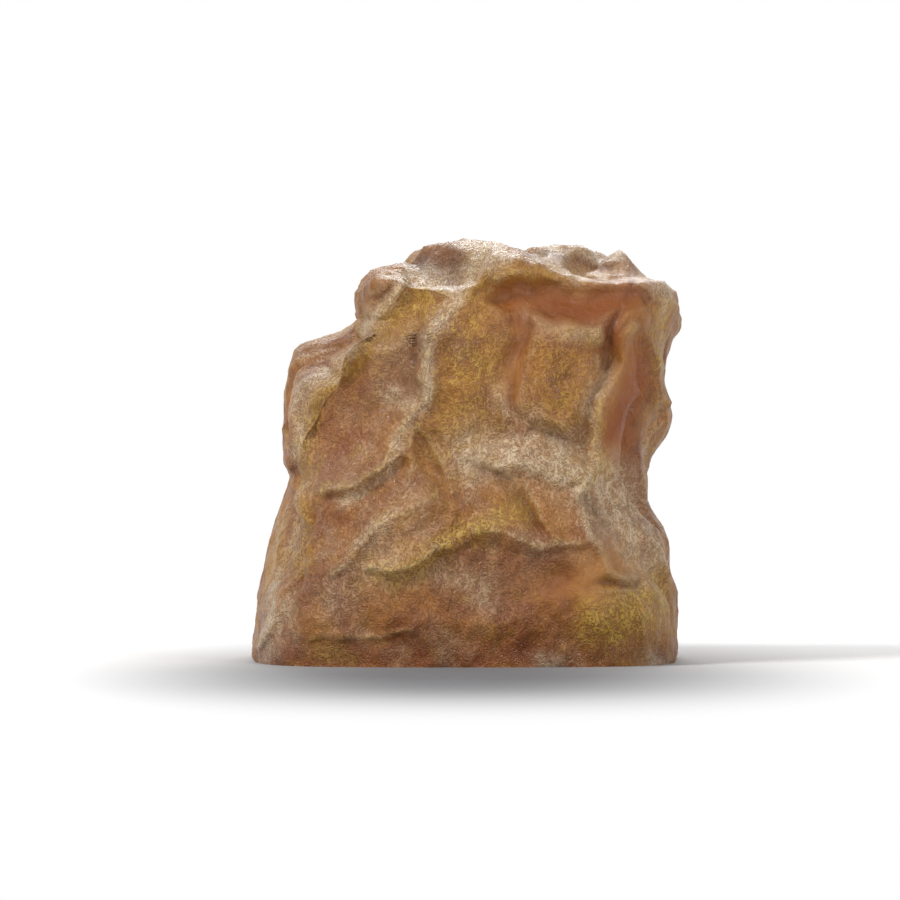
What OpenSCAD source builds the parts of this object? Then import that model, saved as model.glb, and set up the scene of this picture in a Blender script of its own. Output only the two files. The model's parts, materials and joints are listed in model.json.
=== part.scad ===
// Garden speaker in the shape of a boulder: a hollow moulded rock, a coaxial loudspeaker behind a
// dished grille, and a base plate that carries the crossover and the cable gland.
// Millimetres. The rock stands on z = 0 with +Z up. The grille faces +Y, the plain rock face -Y.

/* [Rock] */
// Width over the widest points
rock_w = 304; // [296:1:330]
// Depth at the ground
rock_d = 282; // [276:1:310]
// Height of the highest crest
rock_h = 300; // [294:1:320]
// Thickness of the moulded wall
wall_t = 6; // [5:0.5:7]
// Lean of the grille side from upright, in degrees
baffle_tilt = 8; // [6:0.5:10]
// Strength of the ridges, cracks and dishes
relief = 1; // [0.7:0.1:1.1]
// Thickness of the skirt that stands on the ground
skirt_wall = 9; // [8:0.5:11]

/* [Driver seat] */
// Height of the driver's centre above the ground
driver_h = 150; // [146:1:154]
// Sideways place of the driver's centre
driver_x = 0; // [-6:1:6]
// Depth of the grille's recess below the grille side
recess_depth = 12; // [11:0.5:13]
// Depth of the driver's seat below the grille's seat
seat_step = 7; // [6.5:0.5:8]
// Thickness of the seat under the driver's flange
seat_t = 12; // [11:0.5:15]
// Wall left round the grille's recess
recess_wall = 6; // [5:0.5:8]

/* [Grille] */
// Thickness of the steel sheet
grille_t = 1.2; // [1:0.1:1.5]
// Width of the flange that is screwed down
grille_lip = 9.5; // [9:0.5:11]
// Height of the dished face above the flange
grille_rise = 8; // [6:0.5:9]
// Inward slope of the dished rim
grille_draw = 3; // [2:0.5:4]
// Diameter of a perforation
hole_d = 6.6; // [5.6:0.2:7]
// Spacing of the perforations
hole_pitch = 9.4; // [9:0.2:12]
// Number of grille screws
grille_screw_n = 6; // [4:1:8]

/* [Driver] */
// Diameter of the basket's flange
driver_d = 165; // [160:1:168]
// Thickness of the flange
flange_t = 4; // [3:0.5:5]
// Thickness of the gasket under the flange
gasket_t = 1.5; // [1:0.5:2]
// Depth from the flange's face to the motor
basket_depth = 45.5; // [44:0.5:50]
// Number of windows in the basket
window_n = 6; // [4:1:8]
// Number of driver screws
driver_screw_n = 4; // [4:2:8]
// Radius of the surround's half roll
roll_r = 6; // [5:0.5:7]
// Thickness of the rubber surround
surround_t = 0.8; // [0.6:0.1:1]
// Thickness of the paper cone
cone_t = 0.8; // [0.6:0.1:1.2]
// Depth of the cone from lip to neck
cone_depth = 29; // [26:1:31]
// Excursion of the cone each way
cone_travel = 4; // [2:0.5:4]
// Outer diameter of the ferrite ring
magnet_d = 90; // [84:1:96]
// Thickness of the ferrite ring
magnet_t = 16; // [12:1:20]
// Thickness of the motor's steel plates
motor_plate_t = 6; // [5:0.5:8]
// Inner diameter of the voice coil's former
former_d = 25.5; // [25:0.5:28]
// Running gap each side of the coil
coil_gap = 0.4; // [0.35:0.05:0.6]
// Thickness of the winding
coil_t = 0.6; // [0.5:0.1:0.8]

/* [Tweeter] */
// Diameter of the tweeter's housing
tweeter_d = 38; // [34:1:40]
// Depth of the tweeter's housing
tweeter_depth = 13; // [12:0.5:14]
// Diameter of the dome
dome_d = 20; // [16:1:22]
// Diameter of the post
post_d = 10; // [9:0.5:11]
// Bore of the post
post_bore = 6.4; // [5:0.2:7]

/* [Base] */
// Height of the skirt below the ledge
skirt_h = 44; // [42:1:48]
// Width of the ledge that takes the base screws
ledge_w = 15; // [13:0.5:18]
// Thickness of that ledge
ledge_t = 10; // [9.5:0.5:13]
// Thickness of the base plate
plate_t = 6; // [5:0.5:6.5]
// Thickness of the base gasket
base_gasket_t = 2; // [1.5:0.5:3]
// Number of base screws
base_screw_n = 8; // [6:2:12]

/* [Cable gland] */
// Sideways place of the gland
gland_x = 62; // [40:1:80]
// Place of the gland front to back
gland_y = -58; // [-70:1:-40]
// Diameter of the gland's thread
gland_thread_d = 16; // [14:1:18]
// Diameter of the cable that the seal grips
cable_d = 7; // [6:0.5:8]
// Width of the gland across its flats
gland_af = 22; // [21:1:26]

/* [Crossover] */
// Length of the crossover board
board_l = 92; // [88:1:110]
// Width of the crossover board
board_w = 60; // [56:1:70]
// Thickness of the crossover board
board_t = 1.6; // [1.2:0.2:2]
// Height of the bosses under the board
boss_h = 8; // [6:1:12]
// Diameter of the inductor's winding
inductor_d = 34; // [28:1:36]
// Height of the inductor's winding
inductor_h = 14; // [10:1:18]
// Diameter of the larger capacitor
cap_d = 18; // [14:1:20]
// Length of the larger capacitor
cap_l = 36; // [30:1:40]

/* [Leads] */
// Diameter of a lead to the woofer
lead_d = 2.4; // [2:0.1:2.8]
// Diameter of a core to the tweeter
tweeter_lead_d = 1.8; // [1.5:0.1:2]

/* [Fits] */
// Gap round a piece that drops into a seat
drop_gap = 0.8; // [0.5:0.1:1.2]
// Gap round a shank in its hole
shank_gap = 0.15; // [0.1:0.05:0.3]
// Gap between parts that slide together when assembled
slip_gap = 0.1; // [0.05:0.05:0.2]

/* [Hidden] */
$fn = 48;

// The outlines below are drawn for a rock of this size and follow the three driving sizes.
drawn_w = 304;
drawn_d = 282;
drawn_h = 300;
kx = rock_w / drawn_w;
ky = rock_d / drawn_d;
kz = rock_h / drawn_h;

// Left edge of the rock by height: [height, x]
left_edge = [[0, -149], [11, -151], [29, -148], [50, -146], [79, -141], [96, -134], [118, -128],
    [132, -123.5], [141, -128], [171, -128.5], [190, -128], [207, -125], [221, -121], [225, -116],
    [229, -104], [234, -88], [240, -77], [243, -75], [247, -77], [258, -78], [262, -78]];
// Right edge of the rock by height: [height, x]
right_edge = [[0, 150], [21, 150.7], [50, 150], [63, 146.4], [86, 144.3], [99, 138], [107, 132],
    [114, 128.6], [136, 129], [146, 132], [157, 139], [168, 145.7], [175, 147], [182, 146.4],
    [196, 142], [203, 141.4], [214, 143.6], [229, 148], [237, 152], [244, 153], [256, 150.7],
    [262, 149]];
// Depth of the front face ahead of the middle, by height: [height, depth]
front_depth = [[0, 136], [20, 135], [25, 139], [60, 140], [95, 138], [120, 131], [140, 122],
    [157, 117], [200, 116], [240, 113], [262, 106]];
// Skyline of the rock from left to right: [x, height]
skyline = [[-78, 262], [-74, 274], [-64, 281], [-57, 282], [-46, 285], [-38, 290], [-32, 294],
    [-21, 297], [-1, 300], [14, 299], [29, 295], [39, 291.5], [54, 295], [80, 296], [94, 292],
    [104, 294], [112, 295], [119, 285], [125, 277], [131, 273], [141, 271], [149, 262]];
// Height of the front edge of the top from left to right: [x, height]
front_rim = [[-78, 262], [-64, 276], [-46, 275], [-39, 268], [-20, 265], [0, 266], [8, 270],
    [14, 285], [19, 294], [29, 295], [39, 291], [57, 284], [79, 273], [96, 271], [119, 272],
    [131, 271], [141, 270], [149, 262]];
// Height at which the upright wall ends and the top closes over
rim_z = 262 * kz;
// Roundness of a level section: 2 is an ellipse, more is squarer
front_round = 3.4;
back_round = 7;
// The top falls to the rim with this squareness
top_round = 6;
// Middle of the top, where its rings close
top_mid = [36 * kx, -4 * ky];
// Between these depths the front rim of the top gives way to the skyline
rim_ends_y = -38 * ky;
crest_starts_y = 12 * ky;

// Ridges (positive) and cracks (negative) of the front face, as seen from -Y.
// Each is [lift, width left of its run, width right of it, shape, points [x, z]].
// A shape over 1 is a rounded bank, 3 and over a flat-topped one, under 1 a sharp crest.
front_strokes = [
    // crest from the knob's lip down to the golden column, steep on its left
    [9, 26, 12, 0.8, [[11, 294], [7, 281], [0, 263], [-13, 249], [-22, 237], [-26, 219], 
       [-29, 199], [-31, 185]]],
    // the same crest as the rim of the left dish, steep on its right
    [8, 12, 22, 0.8, [[-28, 217], [-29, 199], [-36, 181], [-44, 162], [-58, 146], [-77, 131], 
       [-96, 123]]],
    // crest along the left shoulder
    [8, 16, 12, 0.8, [[-43, 273], [-52, 256], [-63, 240], [-79, 226], [-95, 214], [-111, 199], 
       [-120, 181], [-123, 160], [-124, 135]]],
    // the left dish, the streak in it and the hollow above it
    [-13, 40, 34, 2, [[-43, 214], [-70, 178], [-111, 139]]],
    [-3, 6, 6, 1, [[-68, 167], [-80, 160], [-95, 149]]],
    [-6, 22, 22, 2, [[-38, 264], [-55, 230], [-73, 203]]],
    [4, 8, 8, 1, [[-54, 196], [-38, 189]]],
    [-7, 11, 11, 1, [[-28, 240], [-36, 217], [-47, 196]]],
    // hollow of the knob and its lit lip
    [-10, 17, 17, 2, [[-36, 281], [-16, 280], [4, 284]]],
    [4, 8, 8, 1, [[-40, 279], [-31, 264], [-11, 260], [2, 267]]],
    // left knob, its notch and the shelf below it
    [5, 14, 14, 2, [[-64, 283], [-71, 262]]],
    [-6, 8, 8, 1, [[-79, 243], [-68, 242], [-59, 247]]],
    [6, 11, 11, 1, [[-118, 226], [-95, 233], [-77, 239]]],
    // middle column and the groove between it and the right block
    [4, 30, 26, 2, [[7, 260], [0, 210], [-9, 164]]],
    [-8, 9, 11, 1.2, [[48, 260], [38, 237], [34, 210], [33, 180]]],
    // right block and its top ledge
    [9, 28, 28, 5, [[66, 221], [63, 187]]],
    [6, 10, 10, 5, [[54, 239], [91, 229]]],
    [-5, 7, 7, 1, [[41, 166], [64, 159], [93, 151]]],
    // flat recess over the block, the fringe over it and the valley above
    [-10, 17, 17, 4, [[20, 258], [61, 261], [120, 256]]],
    [4, 7, 7, 1.5, [[1, 277], [32, 274], [65, 269]]],
    [-8, 9, 9, 1, [[42, 289], [75, 286], [102, 283]]],
    // crack to the right of the block
    [-11, 9, 9, 0.9, [[120, 286], [115, 264], [109, 244], [102, 226], [94, 207]]],
    // right crest, steep on its left and easy on its right
    [8, 30, 8, 0.9, [[119, 236], [105, 206], [99, 190], [94, 170], [88, 146], [85, 127]]],
    // right rim and the rough hollow inside it
    [5, 8, 13, 1, [[139, 260], [142, 231], [138, 199], [144, 178], [132, 149]]],
    [-5, 11, 11, 1, [[128, 196], [125, 167], [122, 142]]],
    // pale shelf under the block, easy above and steep below
    [7, 22, 9, 1, [[4, 149], [39, 139], [61, 135], [85, 134]]],
    // diagonal crease and arrow-shaped pit in the middle
    [-6, 7, 7, 1, [[25, 136], [39, 123], [47, 105], [56, 89]]],
    [-9, 13, 13, 2, [[-29, 163], [-21, 144], [-16, 121]]],
    [4, 6, 6, 0.8, [[-32, 167], [-16, 146], [-11, 123]]],
    // dish at the lower right, its rims, crease and lips
    [-12, 26, 26, 2, [[92, 131], [110, 99], [119, 64]]],
    [6, 7, 8, 0.8, [[88, 143], [83, 128], [86, 103], [89, 87], [99, 66], [115, 64]]],
    [-4, 5, 5, 1, [[84, 122], [96, 107], [107, 91]]],
    [6, 12, 12, 0.9, [[124, 130], [132, 103], [140, 81], [145, 56]]],
    [-6, 6, 6, 1, [[93, 61], [115, 61]]],
    [4, 7, 7, 1, [[91, 55], [117, 56]]],
    // ridge down the left edge
    [8, 9, 9, 0.8, [[-122, 132], [-124, 103], [-125, 81], [-132, 56], [-141, 31], [-149, 8]]],
    // hair-brushed ridge and hollows of the lower bulge
    [6, 14, 12, 1, [[-9, 137], [-34, 112], [-64, 92], [-93, 64]]],
    [-8, 22, 20, 2, [[-46, 140], [-80, 112], [-111, 85]]],
    // its lower edge, steep below, and the undercut
    [6, 15, 9, 1, [[-73, 66], [-39, 73], [-13, 88], [14, 94], [46, 89], [82, 84]]],
    [-7, 20, 20, 2, [[-46, 51], [7, 56], [61, 61]]],
    [-4, 10, 10, 1.5, [[-19, 95], [2, 91]]],
    [4, 22, 22, 2, [[86, 46], [132, 37]]],
    [4, 18, 18, 2, [[-114, 92], [-118, 42]]],
    [2.5, 5, 3, 1, [[-114, 16], [-82, 23], [-34, 25]]]];
// Cracks of the grille side, as seen from above their [x, z] run. They stop short of the recess.
back_strokes = [
    [-9, 14, 14, 1, [[-128, 214], [-100, 190], [-112, 140], [-104, 96]]],
    [7, 14, 14, 0.9, [[-134, 110], [-112, 64], [-120, 20]]],
    [-8, 14, 14, 1.2, [[128, 236], [112, 190], [124, 150], [112, 108]]],
    [7, 12, 18, 0.9, [[132, 92], [108, 60], [116, 22]]],
    [6, 12, 12, 0.9, [[-64, 262], [-40, 254], [30, 258], [96, 250]]],
    [-7, 12, 12, 1, [[-96, 34], [-40, 28], [20, 36], [84, 28]]]];
// Cracks of the left flank, by their [y, z] run. They only cut in, so the outline stays.
left_strokes = [
    [12, 18, 18, 1.2, [[-104, 206], [-70, 172], [-58, 112], [-80, 60]]],
    [14, 26, 26, 2, [[46, 196], [72, 124]]],
    [10, 14, 14, 1, [[112, 214], [96, 150], [106, 70], [86, 24]]],
    [9, 14, 14, 1, [[-112, 120], [-92, 84], [-106, 30]]],
    [8, 12, 12, 1, [[12, 88], [46, 52], [36, 14]]],
    [11, 16, 16, 1.5, [[-40, 222], [-22, 190], [-44, 156]]]];
// Cracks of the right flank, by their [y, z] run
right_strokes = [
    [12, 16, 16, 1, [[-98, 240], [-74, 190], [-86, 140], [-58, 92]]],
    [14, 28, 28, 2, [[66, 220], [44, 148]]],
    [11, 15, 15, 1, [[114, 196], [88, 132], [100, 72]]],
    [9, 14, 14, 1, [[-106, 74], [-66, 44], [-74, 12]]],
    [9, 14, 14, 1, [[26, 84], [66, 46], [44, 14]]],
    [10, 14, 14, 1.4, [[-34, 236], [-20, 200], [-46, 160]]]];
// Cracks and hollows of the top, by their [x, y] run. They wind, so the skyline keeps its height.
top_strokes = [
    [-9, 11, 11, 1, [[-58, -62], [-32, 4], [-54, 54], [-22, 98]]],
    [-10, 13, 13, 1.2, [[14, -66], [50, -8], [22, 42], [56, 96]]],
    [-9, 12, 12, 1, [[98, -84], [80, -22], [110, 30], [90, 92]]],
    [-8, 24, 24, 2, [[66, 62], [84, 38]]],
    [-7, 18, 18, 2, [[-14, 70], [4, 50]]]];
// How far the top falls from its middle to the grille side
back_fall = 12;

// Columns of the outer face, front and back, and the heights and top rings of its mesh
front_cols = 56;
back_cols = 38;
cols = front_cols + back_cols;
row_step = 6.3;
wall_rows = concat([0, 10, 20, 25, 32], [for (z = [39:row_step:256]) z], [rim_z / kz]);
top_rings = [0.992, 0.965, 0.92, 0.85, 0.75, 0.62, 0.48, 0.33, 0.17];
// The inner face has one column for two outer ones
inner_cols = cols / 2;
inner_row_step = 14;
inner_rings = [0.88, 0.66, 0.36];
// Half the spacing over which the inner face looks for the deepest crack
reach = 14;

// Clamps v to the range from 0 to 1
function unit(v) = min(1, max(0, v));
// Smooth rise from 0 to 1 as v passes from a to b
function rise(v, a, b) = let (t = unit((v - a) / (b - a))) t * t * (3 - 2 * t);
function blend(a, b, t) = a + (b - a) * t;

// Angle of an outer column, closer together in the middle of the front and back
function spread(u) = 90 * u * (0.8 + 0.2 * abs(u));
function col_angle(i) = i < front_cols
    ? 270 + spread(2 * i / front_cols - 1)
    : 450 + spread(2 * (i - front_cols) / back_cols - 1);

function left_x(z) = kx * lookup(z / kz, left_edge);
function right_x(z) = kx * lookup(z / kz, right_edge);
function front_y(z) = ky * lookup(z / kz, front_depth);
function back_y(z) = rock_d / 2 - z * tan(baffle_tilt);
// Point at angle a of the squared oval between l, e (left and right), f (front) and b (back)
function oval(a, l, e, f, b) =
    let (c = cos(a), s = sin(a), n = s < 0 ? front_round : back_round,
        r = pow(pow(abs(c), n) + pow(abs(s), n), -1 / n))
    [(l + e) / 2 + (e - l) / 2 * r * c, (s < 0 ? f : b) * r * s];
function section(a, z, inset) =
    oval(a, left_x(z) + inset, right_x(z) - inset, front_y(z) - inset, back_y(z) - inset);
// Height of the top at a point, before it falls to the rim
function top_z(x, y) = kz * (blend(lookup(x / kx, front_rim), lookup(x / kx, skyline),
    rise(y, rim_ends_y, crest_starts_y)) + strokes_at(top_boxed, [x / kx, y / ky])
    - back_fall * rise(y / ky, 40, 108));

// Size of a stroke's box, so that points far from it are passed over
function box_of(s) = let (w = max(s[1], s[2]), p = s[4])
    [min([for (q = p) q[0]]) - w, max([for (q = p) q[0]]) + w,
        min([for (q = p) q[1]]) - w, max([for (q = p) q[1]]) + w];
function boxed(list) = [for (s = list) [s, box_of(s)]];
// How much of a stroke's height is left at t, which is 1 on its line and 0 at its edge
function bank(t, k) = t <= 0 ? 0 : k >= 1 ? 1 - pow(1 - t, k) : pow(t, 1 / k);
// A stroke narrows to this share of its width at both ends, unless it is flat-topped
end_share = 0.35;
flat_shape = 3;
function taper(u, k) = k < flat_shape ? blend(1, end_share, pow(abs(2 * u - 1), 3)) : 1;
// Height share of one straight run from a to b at p, with its own width on each side.
// The run is the part of its stroke between the shares u and v.
function run_share(p, a, b, wl, wr, k, u, v) =
    let (ab = b - a, ap = p - a, t = unit((ap * ab) / (ab * ab)), d = norm(ap - t * ab),
        side = d > 0 ? (ab[0] * ap[1] - ab[1] * ap[0]) / (norm(ab) * d) : 0)
    bank(1 - d / (((wl + wr) / 2 + (wl - wr) / 2 * side) * taper(blend(u, v, t), k)), k);
function stroke_at(s, p) = let (n = len(s[4]) - 1)
    s[0] * max([for (i = [0:n - 1])
        run_share(p, s[4][i], s[4][i + 1], s[1], s[2], s[3], i / n, (i + 1) / n)]);
// Shifts a place along slow sines, so that no stroke has a ruled edge
warp_h = 3;
function warped(p) = let (x = p[0], z = p[1])
    p + warp_h * [sin(5.3 * z + 2.1 * x + 40) + 0.25 * sin(11.7 * z - 7.3 * x),
        sin(4.7 * x - 2.9 * z + 110) + 0.25 * sin(12.9 * x + 6.1 * z)];
function strokes_at(list, place) =
    let (p = warped(place), hits = [for (s = list)
        if (p[0] > s[1][0] && p[0] < s[1][1] && p[1] > s[1][2] && p[1] < s[1][3])
            stroke_at(s[0], p)])
    len(hits) == 0 ? 0 : relief * (max(0, max(hits)) + min(0, min(hits)));
front_boxed = boxed(front_strokes);
back_boxed = boxed(back_strokes);
left_boxed = boxed(left_strokes);
right_boxed = boxed(right_strokes);
top_boxed = boxed(top_strokes);

// Low, uneven lumps all over the stone
lump_h = 0.7;
// How much the flank's bands rise or fall front to back
band_slope = 0.35;
function lumps(x, y, z) = relief * lump_h * (sin(9.7 * x + 3.1 * z) * sin(8.3 * z - 4.1 * x + 5 * y)
    + 0.7 * sin(17 * x - 6 * z + 11 * y) * sin(14 * z + 9 * y));
// Shares of the four faces in a point, from how near it lies to each
function facing(v) = unit(1.8 * v);
function flank(v) = rise(v, 0.7, 0.95);
// The back strokes fade within this distance of the driver's axis
function clear_of_grille(x, z) = rise(norm([x - driver_x, z - driver_h]), recess_r + 6, recess_r + 22);
// Moves a point of the plain form in or out by the relief of the face that it lies on
function carved(p) =
    let (x = p[0], y = p[1], z = p[2], l = left_x(z), e = right_x(z),
        across = (x - (l + e) / 2) / ((e - l) / 2),
        front = facing(-y / front_y(z)), back = facing(y / back_y(z)),
        q = [x / kx, z / kz], side = [y / ky, z / kz],
        bump = lumps(x, y, z),
        dy = front > 0 ? -front * (strokes_at(front_boxed, q) + bump)
            : back * clear_of_grille(x, z) * (strokes_at(back_boxed, q) + bump),
        cut = flank(abs(across)) * edge_hold(y) * (flank_depth(across < 0, side, y, z) + abs(bump)) * ground_hold(z))
    [x - sign(across) * cut, y + dy, z];
// The outline seen from the front lies near y = 0 and keeps its place
function edge_hold(y) = rise(abs(y), 4, 34);
// Cracks are shallow in the skirt, whose wall is thin
function ground_hold(z) = blend(0.35, 1, rise(z, skirt_h - 8, skirt_h + 20));
// Depth of the flank's cracks, and of the stone that its bulges lose away from the middle
function flank_depth(is_left, side, y, z) = is_left
    ? strokes_at(left_boxed, side) + max(0, left_x(z - band_slope * y) - left_x(z))
    : strokes_at(right_boxed, side) + max(0, right_x(z) - right_x(z + band_slope * y));

// One level loop of the outer face, and one ring of its top
function wall_point(a, z) = let (p = section(a, z, 0)) carved([p[0], p[1], z]);
function top_point(a, s, inset) =
    let (p = section(a, rim_z, inset), q = [blend(top_mid[0], p[0], s), blend(top_mid[1], p[1], s)],
        h = (top_z(q[0], q[1]) - inset - rim_z) * pow(1 - pow(s, top_round), 1 / top_round))
    [q[0], q[1], rim_z + h];

// How far the outer face is cut in near a point of the plain form, on its front or back
function cut_in(x, y, z) =
    let (q = [x / kx, z / kz], list = y < 0 ? front_boxed : back_boxed)
    -min([0, for (i = [-1:0.5:1], j = [-1:0.5:1]) strokes_at(list, q + reach * [i, j])]) + lump_h;
function flank_cut(x, y, z) =
    max([for (i = [-1:0.5:1], j = [-1:0.5:1]) let (v = y + i * reach, w = z + j * reach)
        flank_depth(x < 0, [v / ky, w / kz], v, w)]) + lump_h;
// Inner face of the wall: the plain form, set in by the wall and by the cracks over it
function inner_point(a, z) =
    let (p = section(a, z, wall_t), x = p[0], y = p[1], l = left_x(z), e = right_x(z),
        across = (x - (l + e) / 2) / ((e - l) / 2),
        face = y < 0 ? facing(-y / front_y(z)) : facing(y / back_y(z)) * clear_of_grille(x, z),
        dy = face * cut_in(x, y, z), dx = flank(abs(across) + 0.1) * flank_cut(x, y, z))
    [x - sign(across) * dx, y - sign(y) * dy, z];
function low_top(x, y) = min([for (i = [-1:1], j = [-1:1]) top_z(x + i * reach, y + j * reach)]);
function inner_top(a, s) =
    let (p = section(a, rim_z, wall_t), x = blend(top_mid[0], p[0], s), y = blend(top_mid[1], p[1], s),
        h = (low_top(x, y) - wall_t - rim_z) * pow(1 - pow(s, top_round), 1 / top_round))
    [x, y + (y < 0 ? facing(-y / front_y(rim_z)) * cut_in(x, y, rim_z + h) : 0), rim_z + h];

// Outline of the space inside the skirt, and of what fits in it
function skirt_point(a, inset) = oval(a, left_x(skirt_h) + inset, right_x(skirt_h) - inset,
    front_y(0) - inset, back_y(skirt_h) - inset);
function inner_angle(j) = col_angle(2 * j);
function skirt_outline(inset) = [for (j = [0:inner_cols - 1]) skirt_point(inner_angle(j), inset)];
function at_height(loop, z) = [for (p = loop) [p[0], p[1], z]];

// Quads between rings a and b of n points each, numbered from these starts
function band(a, b, n, flip) = [for (i = [0:n - 1]) let (k = (i + 1) % n)
    flip ? [b + i, b + k, a + k, a + i] : [a + i, a + k, b + k, b + i]];
function split(quads) = [for (q = quads) each [[q[0], q[1], q[2]], [q[0], q[2], q[3]]]];
function fan(a, tip, n, flip) = [for (i = [0:n - 1]) let (k = (i + 1) % n)
    flip ? [a + k, a + i, tip] : [a + i, a + k, tip]];

// The rock without its seat: an outer face, an inner face, and a flat rim that joins them at z = 0
module rock_body() {
    outer = concat(
        [for (z = wall_rows) [for (i = [0:cols - 1]) wall_point(col_angle(i), z * kz)]],
        [for (s = top_rings) [for (i = [0:cols - 1]) carved(top_point(col_angle(i), s, 0))]]);
    inner_rows = [for (z = [skirt_h + ledge_t + inner_row_step:inner_row_step:rim_z - 8]) z];
    inner = concat(
        [at_height(skirt_outline(skirt_wall), 0), at_height(skirt_outline(skirt_wall), skirt_h),
            at_height(skirt_outline(skirt_wall + ledge_w), skirt_h),
            at_height(skirt_outline(skirt_wall + ledge_w), ledge_top)],
        [for (z = concat([ledge_top], inner_rows, [rim_z - 2]))
            [for (j = [0:inner_cols - 1]) inner_point(inner_angle(j), z)]],
        [for (s = inner_rings) [for (j = [0:inner_cols - 1]) inner_top(inner_angle(j), s)]]);
    outer_tip = top_point(0, 0, 0);
    inner_tip = top_point(0, 0, wall_t);
    points = concat([for (r = outer) each r], [outer_tip], [for (r = inner) each r], [inner_tip]);
    tip = len(outer) * cols;
    first = tip + 1;
    inner_end = first + len(inner) * inner_cols;
    rim = [for (j = [0:inner_cols - 1]) let (o = 2 * j, i = first + j, k = first + (j + 1) % inner_cols)
        each [[o, o + 1, i], [o + 1, k, i], [o + 1, (o + 2) % cols, k]]];
    faces = concat(
        [for (r = [0:len(outer) - 2]) each split(band(r * cols, (r + 1) * cols, cols, true))],
        fan((len(outer) - 1) * cols, tip, cols, true),
        [for (r = [0:len(inner) - 2])
            each split(band(first + r * inner_cols, first + (r + 1) * inner_cols, inner_cols, false))],
        fan(inner_end - inner_cols, inner_end, inner_cols, false),
        rim);
    polyhedron(points = points, faces = faces, convexity = 12);
}

// The driver's axis leans back with the grille side, and its z = 0 is the grille's seat
seat_y = back_y(driver_h) - recess_depth / cos(baffle_tilt);
module on_driver() translate([driver_x, seat_y, driver_h]) rotate([baffle_tilt - 90, 0, 0]) children();
function from_driver(p) = [driver_x + p[0],
    seat_y + p[1] * sin(baffle_tilt) + p[2] * cos(baffle_tilt),
    driver_h - p[1] * cos(baffle_tilt) + p[2] * sin(baffle_tilt)];

flange_r = driver_d / 2;
seat_r = flange_r + drop_gap;
grille_in_r = flange_r + 0.5;
grille_out_r = grille_in_r + grille_lip;
recess_r = grille_out_r + drop_gap;
pad_r = recess_r + recess_wall;
driver_bolt_r = flange_r - 5;
throat_r = driver_bolt_r - 4;
grille_bolt_r = (seat_r + recess_r) / 2;
grille_pilot_r = 1.75;
grille_screw_l = 10;
driver_shank_r = 1.9;
driver_screw_l = 15;
ledge_top = skirt_h + ledge_t;

module ring_of(n, r, turn = 0) for (i = [0:n - 1]) rotate(360 * i / n + turn) translate([r, 0]) children();
// Disc ring by its outer and inner radius, from height a to height b
module washer(ro, ri, a, b) translate([0, 0, a]) linear_extrude(b - a) difference() {
    circle(ro);
    circle(ri);
}
module rod(r, a, b) translate([0, 0, a]) cylinder(r = r, h = b - a);

grille_screw_turn = 30;
driver_screw_turn = 45;
module rock_shell() color("#8a6a48") difference() {
    union() {
        rock_body();
        intersection() {
            on_driver() rod(pad_r, -seat_step - seat_t, recess_depth - wall_t + 1.2);
            translate([-rock_w / 2, 0, skirt_h + ledge_t / 2]) cube([rock_w, rock_d, rock_h]);
        }
    }
    on_driver() {
        rod(recess_r, 0, 2 * recess_depth + recess_r * 0.5);
        rod(seat_r, -seat_step, 1);
        rod(throat_r, -seat_step - seat_t - wall_t, 1);
        ring_of(grille_screw_n, grille_bolt_r, grille_screw_turn)
            rod(grille_pilot_r + shank_gap, -grille_screw_l - 1, 1);
        ring_of(driver_screw_n, driver_bolt_r, driver_screw_turn)
            rod(driver_shank_r + shank_gap, flange_top - driver_screw_l - 1, 0);
    }
    on_base_screws() rod(base_shank_r + shank_gap, skirt_h - 1, base_screw_top + 0.5);
}

// Heights along the driver's axis
flange_bottom = gasket_t - seat_step;
flange_top = flange_bottom + flange_t;
motor_top = flange_top - basket_depth;

grille_top_r = grille_in_r - grille_draw;
hole_field_r = grille_top_r - hole_d / 2 - 1.5;
module grille() color("#2b2a28") on_driver() difference() {
    union() {
        rotate_extrude() polygon([[grille_out_r, 0], [grille_out_r, grille_t],
            [grille_in_r + 0.6, grille_t], [grille_top_r + 0.6, grille_rise + grille_t],
            [hole_field_r + hole_d / 2, grille_rise + grille_t], [hole_field_r + hole_d / 2, grille_rise],
            [grille_top_r - 0.5, grille_rise], [grille_in_r - 0.5, 0]]);
        translate([0, 0, grille_rise]) linear_extrude(grille_t) difference() {
            circle(hole_field_r + hole_d / 2);
            perforations();
        }
    }
    ring_of(grille_screw_n, grille_bolt_r, grille_screw_turn)
        rod(grille_pilot_r + shank_gap, -1, grille_t + 1);
}
module perforations() {
    row_gap = hole_pitch * sqrt(3) / 2;
    rows = floor(hole_field_r / row_gap);
    for (j = [-rows:rows]) {
        y = j * row_gap;
        half = sqrt(hole_field_r * hole_field_r - y * y);
        shift = j % 2 == 0 ? 0 : hole_pitch / 2;
        for (i = [-ceil(half / hole_pitch):ceil(half / hole_pitch)]) {
            x = i * hole_pitch + shift;
            if (abs(x) <= half) translate([x, y]) circle(d = hole_d, $fn = 20);
        }
    }
}
// Pan-head screw: its head sits on z = 0 and its shank points down
module screw(shank_r, length, head_r, head_h) {
    difference() {
        rotate_extrude() polygon([[0, head_h], [head_r * 0.6, head_h], [head_r, head_h * 0.4],
            [head_r, 0], [shank_r, 0], [shank_r, shank_r * 1.2 - length], [0, -length]]);
        for (turn = [0, 90]) rotate(turn)
            translate([-head_r * 0.55, -head_r * 0.11, head_h * 0.4]) cube([head_r * 1.1, head_r * 0.22, head_h]);
    }
}
module grille_screws() color("#26262a") on_driver()
    ring_of(grille_screw_n, grille_bolt_r, grille_screw_turn)
        translate([0, 0, grille_t]) screw(grille_pilot_r, grille_screw_l, 3.2, 2);

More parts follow.
